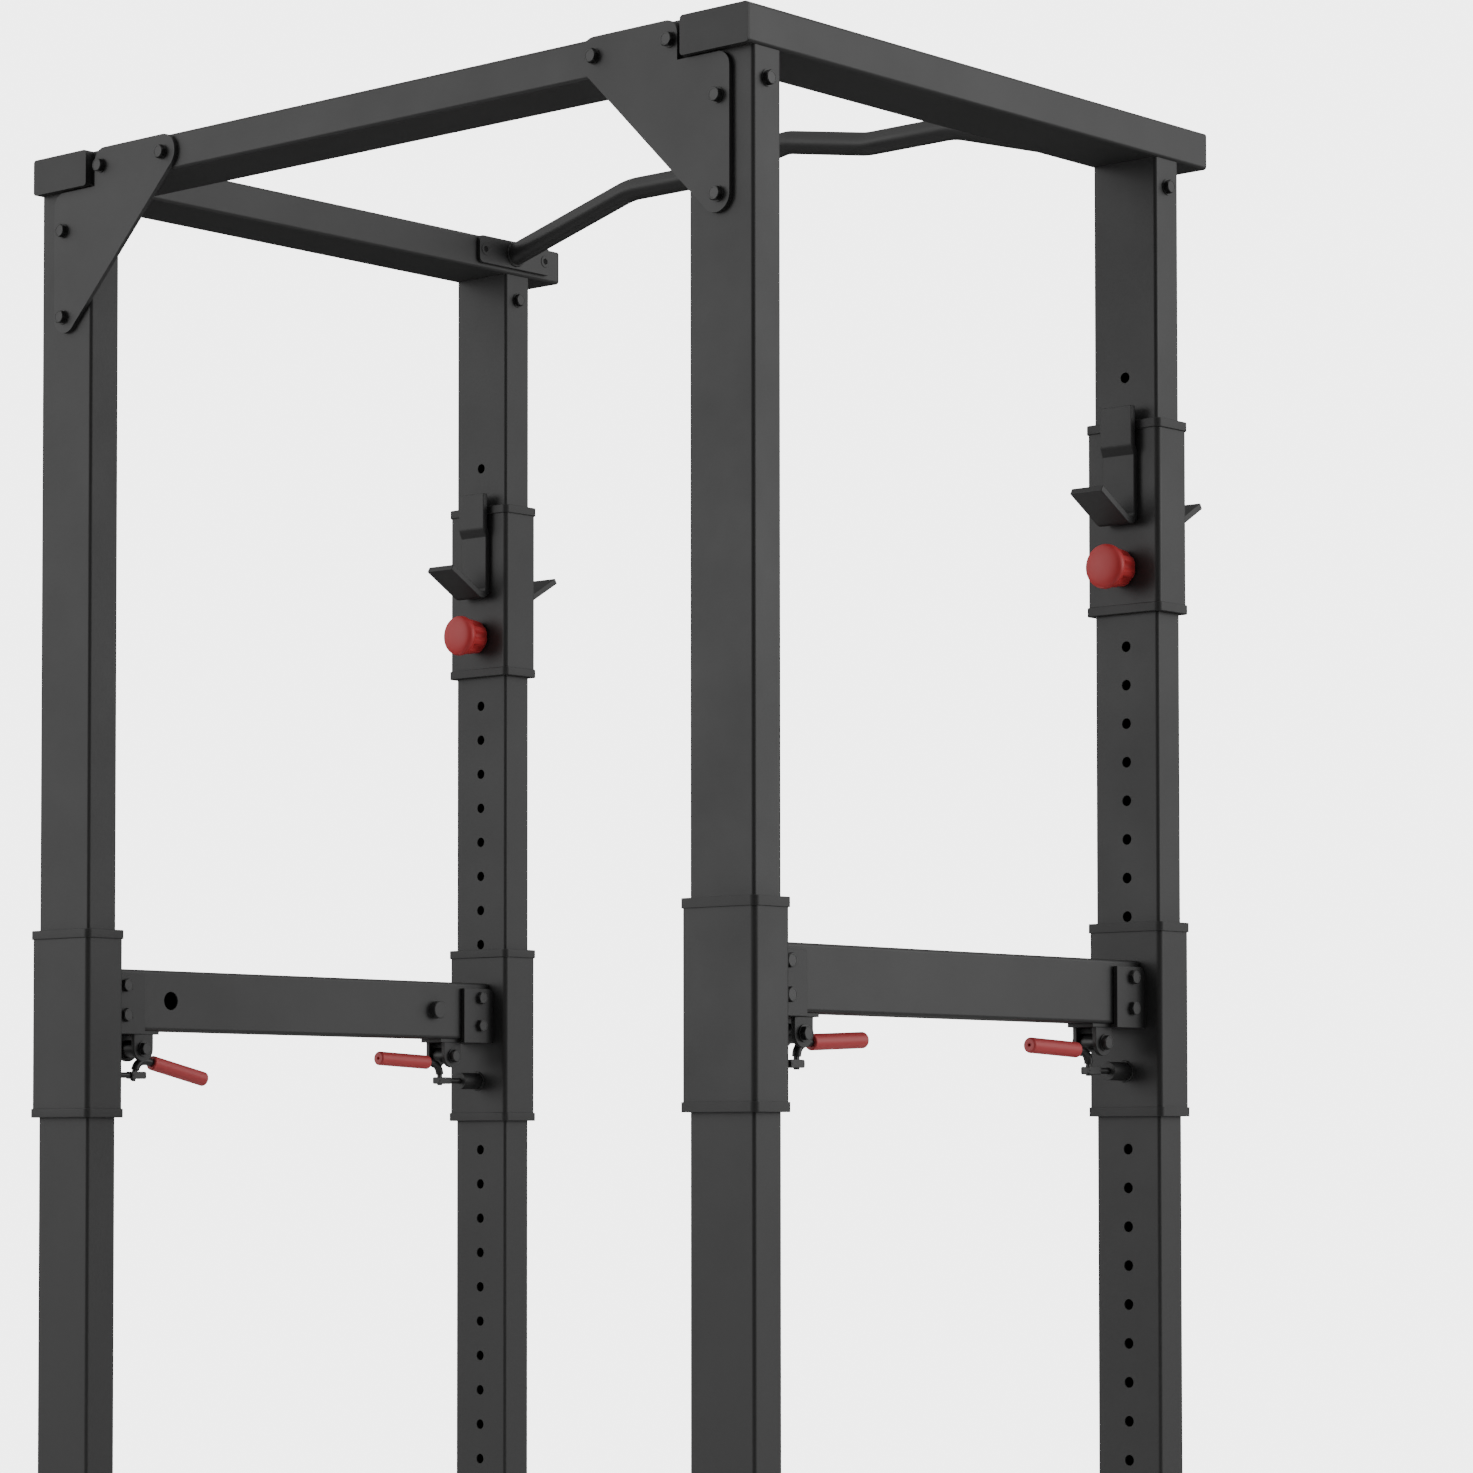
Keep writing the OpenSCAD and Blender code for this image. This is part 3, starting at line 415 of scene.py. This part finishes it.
# The beams take the lighter copy of the coat: painted light.
paint(["top_beam_left", "top_beam_right", "rear_top_crossbeam", "base_beam_left",
       "base_beam_right", "rear_base_crossbeam"], BEAM_COAT_PAINTED_LIGHT)

# The gussets take the beams' lighter copy of the coat: painted light.
for node, material, width in (("gusset_plates", BEAM_COAT_PAINTED_LIGHT, 0.0009),
                              ("beam_end_caps", NYLON, 0.0012),
                              ("rubber_feet", RUBBER, 0.003)):
    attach(softened(node, material, width), "frame")


def build_frame_bolts(bm):
    """Gusset bolts on the rear face, tie bolts and their nuts through the uprights."""
    count = 0
    for side in (-1, 1):
        for dx, drop in GUSSET_BOLTS:
            for z in (TOP_BEAM_Z - drop, BASE_BEAM_Z + drop):
                bolt(bm, (side * (SPAN_X - dx), GUSSET_FACE_Y, z), (0, -1, 0), **GUSSET_HEAD,
                     turn=0.4 + HEAD_TURN["gusset"] * count)
                count += 1
        for y in (-SPAN_Y, SPAN_Y):
            for z in TIE_BOLTS_Z:
                bolt(bm, (side * SPAN_X + UPRIGHT_HALF, y, z), (1, 0, 0), **TIE_HEAD,
                     turn=HEAD_TURN["tie"] * count)
                nut(bm, (side * SPAN_X - UPRIGHT_HALF, y, z), (-1, 0, 0), **TIE_NUT)
                count += 1


# ---- Pull-up bar ----------------------------------------------------------------------

BAR_Y, BAR_END_Z, BAR_END_X = 0.386, 2.2295, 0.527
BAR_RADIUS, BAR_INTO_FLANGE = 0.016, 0.002
SHOULDER_Z, PEAK_Z = 2.2935, 2.3175    # bar's axis between its bends and at the middle
SHOULDERS_X = (0.294, 0.142)
SHOULDER_BEND, PEAK_BEND = 0.12, 0.06  # bend radii
FLANGE_LENGTH, FLANGE_WIDTH, FLANGE_T, FLANGE_CORNER = 0.150, 0.040, 0.006, 0.008
# The bar leaves its flange rising, so its seam sits a little above the axis.
SEAM_OFF, SEAM_RISE, SEAM_RADIUS, SEAM_BEAD = 0.0065, 0.0014, 0.0165, 0.0022
SCREW_OFF_Y = 0.063
# Screw heads: (radius, height over the flange), then the socket in them.
SCREW_HEAD = ((0.0087, 0.0), (0.0086, 0.0005), (0.0083, 0.0008), (0.0056, 0.0008))
SOCKET_FLATS, SOCKET_CHAMFER, SOCKET_STEPS = 0.008, 0.0003, 72


def build_bar(bm):
    far, near = SHOULDERS_X
    end_x = BAR_END_X - BAR_INTO_FLANGE
    corners = [(-end_x, BAR_Y, BAR_END_Z), (-far, BAR_Y, SHOULDER_Z),
               (-near, BAR_Y, SHOULDER_Z), (0, BAR_Y, PEAK_Z), (near, BAR_Y, SHOULDER_Z),
               (far, BAR_Y, SHOULDER_Z), (end_x, BAR_Y, BAR_END_Z)]
    bends = [SHOULDER_BEND, SHOULDER_BEND]
    path = arc_path(corners, [0] + bends + [PEAK_BEND] + bends + [0], parts=14)
    sweep(bm, path, BAR_RADIUS, sides=48, normal=(0, 1, 0))


def build_flanges(bm):
    for side in (-1, 1):
        matrix = placed((side * BAR_END_X, BAR_Y, BAR_END_Z), (-side, 0, 0))
        rounded_plate(bm, matrix, FLANGE_LENGTH, FLANGE_WIDTH, FLANGE_CORNER, FLANGE_T)


def build_bar_welds(bm):
    for side in (-1, 1):
        seam = (side * (BAR_END_X - SEAM_OFF), BAR_Y, BAR_END_Z + SEAM_RISE)
        weld_ring(bm, placed(seam, (-side, 0, 0)), SEAM_RADIUS, SEAM_BEAD, seed=side)


SCREWS = [placed((side * (BAR_END_X - FLANGE_T), BAR_Y + dy, BAR_END_Z), (-side, 0, 0))
          for side in (-1, 1) for dy in (-SCREW_OFF_Y, SCREW_OFF_Y)]


def build_flange_screws(bm):
    """Countersunk heads, a little proud of the flange, each with a hexagon socket."""
    socket = hexagon(SOCKET_FLATS)
    for matrix in SCREWS:
        rings = [ring_points(matrix, circle(r), z, SOCKET_STEPS) for r, z in SCREW_HEAD]
        top = SCREW_HEAD[-1][1]
        rings += [ring_points(matrix, lambda a: socket(a) + SOCKET_CHAMFER, top, SOCKET_STEPS),
                  ring_points(matrix, socket, top - SOCKET_CHAMFER, SOCKET_STEPS),
                  ring_points(matrix, socket, 0.0001, SOCKET_STEPS)]
        loft(bm, rings, False, False)


def build_socket_shade_plugs(bm):
    """A dark hexagon plug at the bottom of each socket: painted shade for the socket's depth.
    """
    for matrix in SCREWS:
        loft(bm, [ring_points(matrix, hexagon(SOCKET_FLATS), z, SOCKET_STEPS)
                  for z in (-0.0010, 0.0002)])


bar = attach(mesh_object("pullup_bar_tube", build_bar, BAR_COAT), "frame")
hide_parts("pullup_bar")
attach(mesh_object("pullup_bar_flanges", build_flanges, BAR_COAT), "frame")
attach(mesh_object("pullup_bar_welds", build_bar_welds, BAR_COAT, WELD_SMOOTH), "frame")
bolts = mesh_object("frame_bolt_heads", build_frame_bolts, BLACK_STEEL, BOLT_SMOOTH)
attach(bolts, "frame")
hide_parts("frame_bolts")
screws = mesh_object("flange_screw_heads", build_flange_screws, BAR_COAT, TURNED_SMOOTH)
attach(screws, "frame")
# Dark plugs in the shallow sockets: painted shade.
shade_plugs = mesh_object("flange_socket_shade_plugs", build_socket_shade_plugs, SOCKET_SHADE, TURNED_SMOOTH)
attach(shade_plugs, "frame")


# ---- Safety rails ---------------------------------------------------------------------

# From the upright's centre inwards, and from the carriage's lower end upwards.
PIVOT_Y, PIVOT_Z = 0.1015, PIN_Z + 0.0356
RAIL_BOLT_Y, RAIL_BOLTS_Z = 0.058, (0.138, 0.178)
SADDLE_FACE_X, EAR_FACE_X = 0.0323, 0.0185
RAIL_SHANK, PIVOT_SHANK, PIVOT_WASHER = 0.012, 0.010, 0.0105
HOUSING_RADIUS, HOUSING_BEAD, EAR_BEAD = 0.0125, 0.0018, 0.0016
EAR_SEAM_X, EAR_SEAM_Y, EAR_SEAM_Z = 0.0125, (0.087, 0.116), 0.1128


def at(side, end, x, y, z):
    """Point x across, y inwards from an upright's centre and z above the floor."""
    inward = ENDS[end]
    return Vector((SIDES[side] * SPAN_X + x, inward * (y - SPAN_Y), z))


def inwards(end):
    return Vector((0, ENDS[end], 0))


def build_rail_bolts(side):
    """Two bolts through each end of the rail and the lever's pivot bolt below them."""
    def build(bm):
        turn = 0.0
        for end in ENDS:
            for z in RAIL_BOLTS_Z:
                bolt(bm, at(side, end, SADDLE_FACE_X, RAIL_BOLT_Y, SAFETY_Z + z), (1, 0, 0),
                     washer=0.0, turn=turn)
                nut(bm, at(side, end, -SADDLE_FACE_X, RAIL_BOLT_Y, SAFETY_Z + z), (-1, 0, 0),
                    RAIL_SHANK)
                turn += HEAD_TURN["rail"]
            bolt(bm, at(side, end, EAR_FACE_X, PIVOT_Y, SAFETY_Z + PIVOT_Z), (1, 0, 0),
                 washer=PIVOT_WASHER, turn=turn)
            nut(bm, at(side, end, -EAR_FACE_X, PIVOT_Y, SAFETY_Z + PIVOT_Z), (-1, 0, 0),
                PIVOT_SHANK)
    return build


def build_bracket_welds(side):
    """Beads round the spring-pin housings and where the ears meet the saddle."""
    def build(bm):
        for end in ENDS:
            matrix = placed(at(side, end, 0, FACE, SAFETY_Z + PIN_Z), inwards(end))
            weld_ring(bm, matrix, HOUSING_RADIUS, HOUSING_BEAD, seed=3.0)
            for x in (-EAR_SEAM_X, EAR_SEAM_X):
                start, stop = (at(side, end, x, y, SAFETY_Z + EAR_SEAM_Z) for y in EAR_SEAM_Y)
                weld_line(bm, start, stop, EAR_BEAD, seed=x)
    return build


for side in SIDES:
    body = "safety_" + side
    # The rail takes a lighter copy of the coat: painted light.
    paint(["safety_rail_" + side], RAIL_COAT_PAINTED_LIGHT)
    paint(["safety_sleeve_rear_" + side, "safety_sleeve_front_" + side], COAT)
    paint(["lock_spring_rear_" + side, "lock_spring_front_" + side], ZINC)
    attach(softened("safety_liners_" + side, NYLON, 0.0010), body)
    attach(softened("safety_brackets_" + side, COAT, 0.0008), body)
    fixings = mesh_object("rail_fixings_" + side, build_rail_bolts(side), BLACK_STEEL,
                          BOLT_SMOOTH)
    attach(fixings, body)
    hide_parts("safety_bolts_" + side)
    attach(mesh_object("bracket_welds_" + side, build_bracket_welds(side), COAT,
                        WELD_SMOOTH), body)


# ---- Levers, grips and lock pins ------------------------------------------------------

SLACK = {("left", "rear"): math.radians(15)}   # this lever hangs lower than the others
RISE = math.radians(2.5)                       # grips' slope when the pins are in
HUB_HALF, HUB_RADIUS, HUB_BORE, HUB_ROUND = 0.0122, 0.012, 0.0051, 0.0012
ROD_RADIUS, ROD_BELOW_PIVOT = 0.0056, 0.0111
ROD_END, BEND_START, BEND_CORNER = 0.120, 0.030, 0.0095
FOOT_Y, ROD_FOOT_Z, FOOT_TOP_Z = 0.0086, -0.0268, -0.0235
FOOT_X, FOOT_T, FOOT_LENGTH, FOOT_CORNER, FOOT_EDGE = 0.0060, 0.0070, 0.0191, 0.0020, 0.0010

GRIP_START, GRIP_LENGTH, GRIP_RADIUS = 0.034, 0.100, 0.0100
GRIP_ROUND, GRIP_LIP = 0.0030, 0.0022          # roundings at the outer and inner ends
GRIP_BORE, DIMPLE_RADIUS, DIMPLE_DEPTH = 0.0061, 0.0020, 0.0100

# Lock pin: (radius, distance inwards from the upright's centre).
PIN_PROFILE = [(0.0001, 0.0207), (0.0069, 0.0207), (0.0069, 0.0330), (0.0077, 0.0331),
               (0.0077, 0.0370), (0.0040, 0.0371), (0.0040, 0.0930), (0.0001, 0.0930)]
PIN_ROUND = 0.0012
CLEVIS_Y, CLEVIS_LENGTH, CLEVIS_HEIGHT, CLEVIS_CORNER = 0.1049, 0.0256, 0.0100, 0.0026
CLEVIS_CHEEKS_X, CHEEK_T = (-0.0070, 0.0033), 0.0037
CLEVIS_WALLS_Y, WALL_X, WALL_Z, WALL_T = (0.0921, 0.1147), 0.0080, 0.0092, 0.0030
WALL_CORNER, WALL_EDGE = 0.0010, 0.0006
CLEVIS_PINS_Y, CLEVIS_PIN_RADIUS, CLEVIS_PIN_HALF = (0.0940, 0.1160), 0.0012, 0.0072


def lever_point(side, end, x, y, z):
    """Point in a lever's own frame, whose origin is its pivot and +Y points inwards."""
    s = SLACK.get((side, end), 0.0)
    return at(side, end, x, PIVOT_Y + y * math.cos(s) + z * math.sin(s),
              SAFETY_Z + PIVOT_Z - y * math.sin(s) + z * math.cos(s))


def lever_way(side, end, y, z):
    return lever_point(side, end, 0, y, z) - lever_point(side, end, 0, 0, 0)


def rod_z(y):
    """Height of the lever rod's straight part over the pivot."""
    return -ROD_BELOW_PIVOT + math.tan(RISE) * y


def build_lever(side, end):
    def build(bm):
        hub = placed(lever_point(side, end, -HUB_HALF, 0, 0), (1, 0, 0))
        lathe(bm, hub, rounded([(HUB_BORE, 0), (HUB_RADIUS, 0), (HUB_RADIUS, 2 * HUB_HALF),
                                (HUB_BORE, 2 * HUB_HALF)], HUB_ROUND), 56)
        # One bent rod: from inside the grip, under the hub and down to the foot.
        straight, corner, foot = (Vector(p) for p in ((BEND_START, rod_z(BEND_START)),
                                                      (BEND_CORNER, rod_z(BEND_CORNER)),
                                                      (FOOT_Y, ROD_FOOT_Z)))
        rod = [Vector((ROD_END, rod_z(ROD_END)))] + bezier(straight, corner, foot, parts=18)
        sweep(bm, [lever_point(side, end, 0, *p) for p in rod], ROD_RADIUS, sides=32)
        # Flat foot that stands in the clevis of the lock pin.
        foot_top = placed(lever_point(side, end, 0, FOOT_Y, FOOT_TOP_Z),
                          lever_way(side, end, 0, -1), up=lever_way(side, end, 1, 0))
        rounded_plate(bm, foot_top, FOOT_X, FOOT_T, FOOT_CORNER, FOOT_LENGTH, FOOT_EDGE)
    return build


def build_grip(side, end):
    """Grip with rounded ends and a small dimple in the outer one."""
    def build(bm):
        origin = lever_point(side, end, 0, GRIP_START, rod_z(GRIP_START))
        axis = lever_way(side, end, math.cos(RISE), math.sin(RISE))
        lip, tip = GRIP_RADIUS - GRIP_LIP, GRIP_RADIUS - GRIP_ROUND
        profile = [(GRIP_BORE, 0.0004), (lip, 0.0)]
        profile += [(lip + GRIP_LIP * math.sin(a), GRIP_LIP * (1 - math.cos(a)))
                    for a in (math.pi / 2 * k / 6 for k in range(1, 7))]
        profile += [(GRIP_RADIUS, z) for z in (0.03, 0.06, 0.09)]
        profile += [(tip + GRIP_ROUND * math.cos(a),
                     GRIP_LENGTH - GRIP_ROUND + GRIP_ROUND * math.sin(a))
                    for a in (math.pi / 2 * k / 8 for k in range(9))]
        profile += [(DIMPLE_RADIUS + 0.0008, GRIP_LENGTH),
                    (DIMPLE_RADIUS + 0.0001, GRIP_LENGTH - 0.0005),
                    (DIMPLE_RADIUS, GRIP_LENGTH - DIMPLE_DEPTH)]
        lathe(bm, placed(origin, axis), profile, 56)
    return build


def build_lock_pin(side, end):
    def build(bm):
        way = inwards(end)
        middle = at(side, end, 0, 0.0, SAFETY_Z + PIN_Z)
        lathe(bm, placed(middle, way), rounded(PIN_PROFILE, PIN_ROUND), 48)
        # Clevis: two cheeks with rounded corners, closed at both ends of its slot.
        for x in CLEVIS_CHEEKS_X:
            cheek = placed(middle + way * CLEVIS_Y + Vector((x, 0, 0)), (1, 0, 0))
            rounded_plate(bm, cheek, CLEVIS_LENGTH, CLEVIS_HEIGHT, CLEVIS_CORNER, CHEEK_T)
        for y in CLEVIS_WALLS_Y:
            wall = placed(middle + way * y, way)
            rounded_plate(bm, wall, WALL_X, WALL_Z, WALL_CORNER, WALL_T, WALL_EDGE)
    return build


def build_clevis_pins(side, end):
    """The dark ends of two small pins through the clevis's end walls."""
    def build(bm):
        radius, length = CLEVIS_PIN_RADIUS, 2 * CLEVIS_PIN_HALF
        for y in CLEVIS_PINS_Y:
            start = at(side, end, -CLEVIS_PIN_HALF, y, SAFETY_Z + PIN_Z)
            lathe(bm, placed(start, (1, 0, 0)), rounded([(0.0001, 0), (radius, 0),
                                                         (radius, length),
                                                         (0.0001, length)], 0.0004), 28)
    return build


for side in SIDES:
    for end in ENDS:
        where = end + "_" + side
        lever = mesh_object("bent_lever_" + where, build_lever(side, end), BLACK_STEEL,
                            TURNED_SMOOTH)
        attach(lever, "lever_" + where)
        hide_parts("lever_" + where)
        grip = mesh_object("red_grip_" + where, build_grip(side, end), GRIP_RED,
                           MOULDED_SMOOTH)
        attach(grip, "lever_" + where)
        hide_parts("grip_" + where)
        pin = mesh_object("clevis_rod_" + where, build_lock_pin(side, end), BLACK_STEEL,
                          TURNED_SMOOTH)
        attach(pin, "lock_pin_" + where)
        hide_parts("lock_pin_" + where)
        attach(mesh_object("clevis_pins_" + where, build_clevis_pins(side, end), DARK_STEEL,
                            TURNED_SMOOTH), "lock_pin_" + where)


# ---- Hook carriages -------------------------------------------------------------------

KNOB_OFF_FACE, KNOB_BORE, KNOB_STEPS = 0.002, 0.0115, 192
FLUTES, FLUTE_AT, FLUTE_RADIUS = 8, 0.030, 0.0080
FLUTE_BLEND = 0.0016                   # how softly a flute meets the skirt
# Skirt: (height, radius, how much of the flutes shows); head: (height, radius).
KNOB_SKIRT = ((0.0000, 0.0205, 1), (0.0008, 0.0222, 1), (0.0030, 0.0240, 1),
              (0.0080, 0.0248, 1), (0.0160, 0.0256, 1), (0.0240, 0.0262, 1),
              (0.0272, 0.0264, 1), (0.0286, 0.0266, 0.85), (0.0296, 0.0268, 0.3),
              (0.0302, 0.0270, 0))
KNOB_HEAD = ((0.0310, 0.02780), (0.0322, 0.02845), (0.0336, 0.02885), (0.0355, 0.02900),
             (0.0375, 0.02885), (0.0393, 0.02835), (0.0407, 0.02755), (0.0419, 0.02630),
             (0.0428, 0.02470), (0.0436, 0.0225), (0.0444, 0.0190), (0.0450, 0.0150),
             (0.0455, 0.0105), (0.0458, 0.0060), (0.0460, 0.0020))
BARREL_RADIUS, BARREL_BEAD = 0.0114, 0.0015


def fluted(radius, shown):
    """Radius by angle of a round skirt with scooped flutes."""
    def radius_at(a):
        step = 2 * math.pi / FLUTES
        off = (a + step / 2) % step - step / 2
        reach = FLUTE_AT * math.sin(off)
        if abs(reach) >= FLUTE_RADIUS or shown <= 0:
            return radius
        cut = FLUTE_AT * math.cos(off) - math.sqrt(FLUTE_RADIUS ** 2 - reach ** 2)
        h = max(FLUTE_BLEND - abs(radius - cut), 0) / FLUTE_BLEND
        return radius + shown * (min(radius, cut) - h * h * FLUTE_BLEND / 4 - radius)
    return radius_at


def build_knob(side):
    def build(bm):
        start = at(side, "front", 0, FACE + KNOB_OFF_FACE, HOOK_Z + PIN_Z)
        matrix = placed(start, inwards("front"))
        rings = [ring_points(matrix, circle(KNOB_BORE), 0.0008, KNOB_STEPS)]
        rings += [ring_points(matrix, fluted(r, d), z, KNOB_STEPS) for z, r, d in KNOB_SKIRT]
        rings += [ring_points(matrix, circle(r), z, KNOB_STEPS) for z, r in KNOB_HEAD]
        loft(bm, rings)
    return build


def build_barrel_weld(side):
    def build(bm):
        matrix = placed(at(side, "front", 0, FACE, HOOK_Z + PIN_Z), inwards("front"))
        weld_ring(bm, matrix, BARREL_RADIUS, BARREL_BEAD, seed=5.0)
    return build


for side in SIDES:
    body = "hook_" + side
    paint(["pull_spring_" + side], ZINC)
    paint(["pull_pin_" + side], BLACK_STEEL)
    paint(["hook_sleeve_" + side], COAT)
    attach(softened("hook_liner_" + side, NYLON, 0.0010), body)
    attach(softened("hook_inner_" + side, COAT, 0.0012), body)
    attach(softened("hook_outer_" + side, COAT, 0.0012), body)
    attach(mesh_object("barrel_weld_" + side, build_barrel_weld(side), COAT, WELD_SMOOTH),
            body)
    knob = mesh_object("fluted_knob_" + side, build_knob(side), RED, MOULDED_SMOOTH)
    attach(knob, "pull_plunger_" + side)
    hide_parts("pull_knob_" + side)


# ---- Stage, light and camera ----------------------------------------------------------

FLOOR_RADIUS, FLOOR_T = 2.3, 0.012
STUDIO_LIGHT, STUDIO_BACKGROUND = 1.1, 4.5     # on the cage, and as the camera sees it
SOFTBOX_SIZE, SOFTBOX_AIM = (2.4, 3.4), (0, 0, 1.3)
CAMERA_AT = Vector((4.0020, -4.3728, 0.9132))
CAMERA_TURN, CAMERA_TILT = math.radians(42.066), math.radians(92.12)
CAMERA_LENS, CAMERA_SENSOR = 110.2069, 36.0    # millimetres
CAMERA_SHIFT = (0.071419, 0.170333)            # part of the picture's width


def build_floor(bm):
    lathe(bm, Matrix.Translation((0, 0, -FLOOR_T)),
          rounded([(0.0001, 0), (FLOOR_RADIUS, 0), (FLOOR_RADIUS, FLOOR_T),
                   (0.0001, FLOOR_T)], 0.004), 128)


FLOOR = painted("studio_floor", grey(0.78), grey(0.78), 0.7, grain=300.0, edge=0.0,
                spread=0.02)
mesh_object("studio_floor", build_floor, FLOOR, weighted=False)


def make_world():
    """Plain white studio: bright left and right of the cage, dim behind and in front of it."""
    world = bpy.data.worlds.new("studio")
    world.use_nodes = True
    tree = world.node_tree
    way = tree.nodes.new("ShaderNodeTexCoord").outputs["Generated"]

    def add(kind, *inputs, **settings):
        node = tree.nodes.new("ShaderNode" + kind)
        for key, value in settings.items():
            setattr(node, key, value)
        for socket, value in zip(node.inputs, inputs):
            if isinstance(value, bpy.types.NodeSocket):
                tree.links.new(value, socket)
            elif value is not None:
                socket.default_value = value
        return node.outputs

    def ramp(value, low, high, at_low, at_high):
        return add("MapRange", value, low, high, at_low, at_high,
                   interpolation_type="SMOOTHSTEP")["Result"]

    def product(a, b):
        return add("Math", a, b, operation="MULTIPLY")[0]

    # Each ramp: from which value to which, and the light's share at either end.
    height = add("SeparateXYZ", way)["Z"]
    across = add("VectorMath", way, (math.sin(CAMERA_TURN), -math.cos(CAMERA_TURN), 0.0),
                 operation="DOT_PRODUCT")["Value"]
    lobes = ramp(add("Math", across, operation="ABSOLUTE")[0], 0.25, 0.85, 1.0, 0.14)
    ground = ramp(height, -0.16, 0.0, 0.20, 1.0)
    overhead = ramp(height, 0.45, 0.95, 1.0, 0.5)
    light = product(product(product(lobes, ground), overhead), STUDIO_LIGHT)
    seen = add("LightPath")["Is Camera Ray"]
    strength = add("Mix", seen, None, light, STUDIO_BACKGROUND)[0]
    background = tree.nodes["Background"]
    background.inputs["Color"].default_value = (1.0, 1.0, 1.0, 1.0)
    tree.links.new(strength, background.inputs["Strength"])
    bpy.context.scene.world = world


def softbox(name, place, power):
    data = bpy.data.lights.new(name, "AREA")
    data.shape = "RECTANGLE"
    data.size, data.size_y = SOFTBOX_SIZE
    data.energy = power
    lamp = bpy.data.objects.new(name, data)
    lamp.location = place
    aim = Vector(SOFTBOX_AIM) - Vector(place)
    lamp.rotation_euler = aim.to_track_quat("-Z", "Y").to_euler()
    bpy.context.scene.collection.objects.link(lamp)


def make_camera():
    data = bpy.data.cameras.new("camera")
    data.sensor_width = CAMERA_SENSOR
    data.lens = CAMERA_LENS
    data.shift_x, data.shift_y = CAMERA_SHIFT
    data.clip_end = 100.0
    camera = bpy.data.objects.new("camera", data)
    camera.location = CAMERA_AT
    camera.rotation_euler = (CAMERA_TILT, 0.0, CAMERA_TURN)
    bpy.context.scene.collection.objects.link(camera)
    bpy.context.scene.camera = camera


make_world()
softbox("rear_softbox", (-3.6, -5.2, 2.4), 50)
softbox("side_softbox", (5.6, 3.6, 2.6), 75)
make_camera()
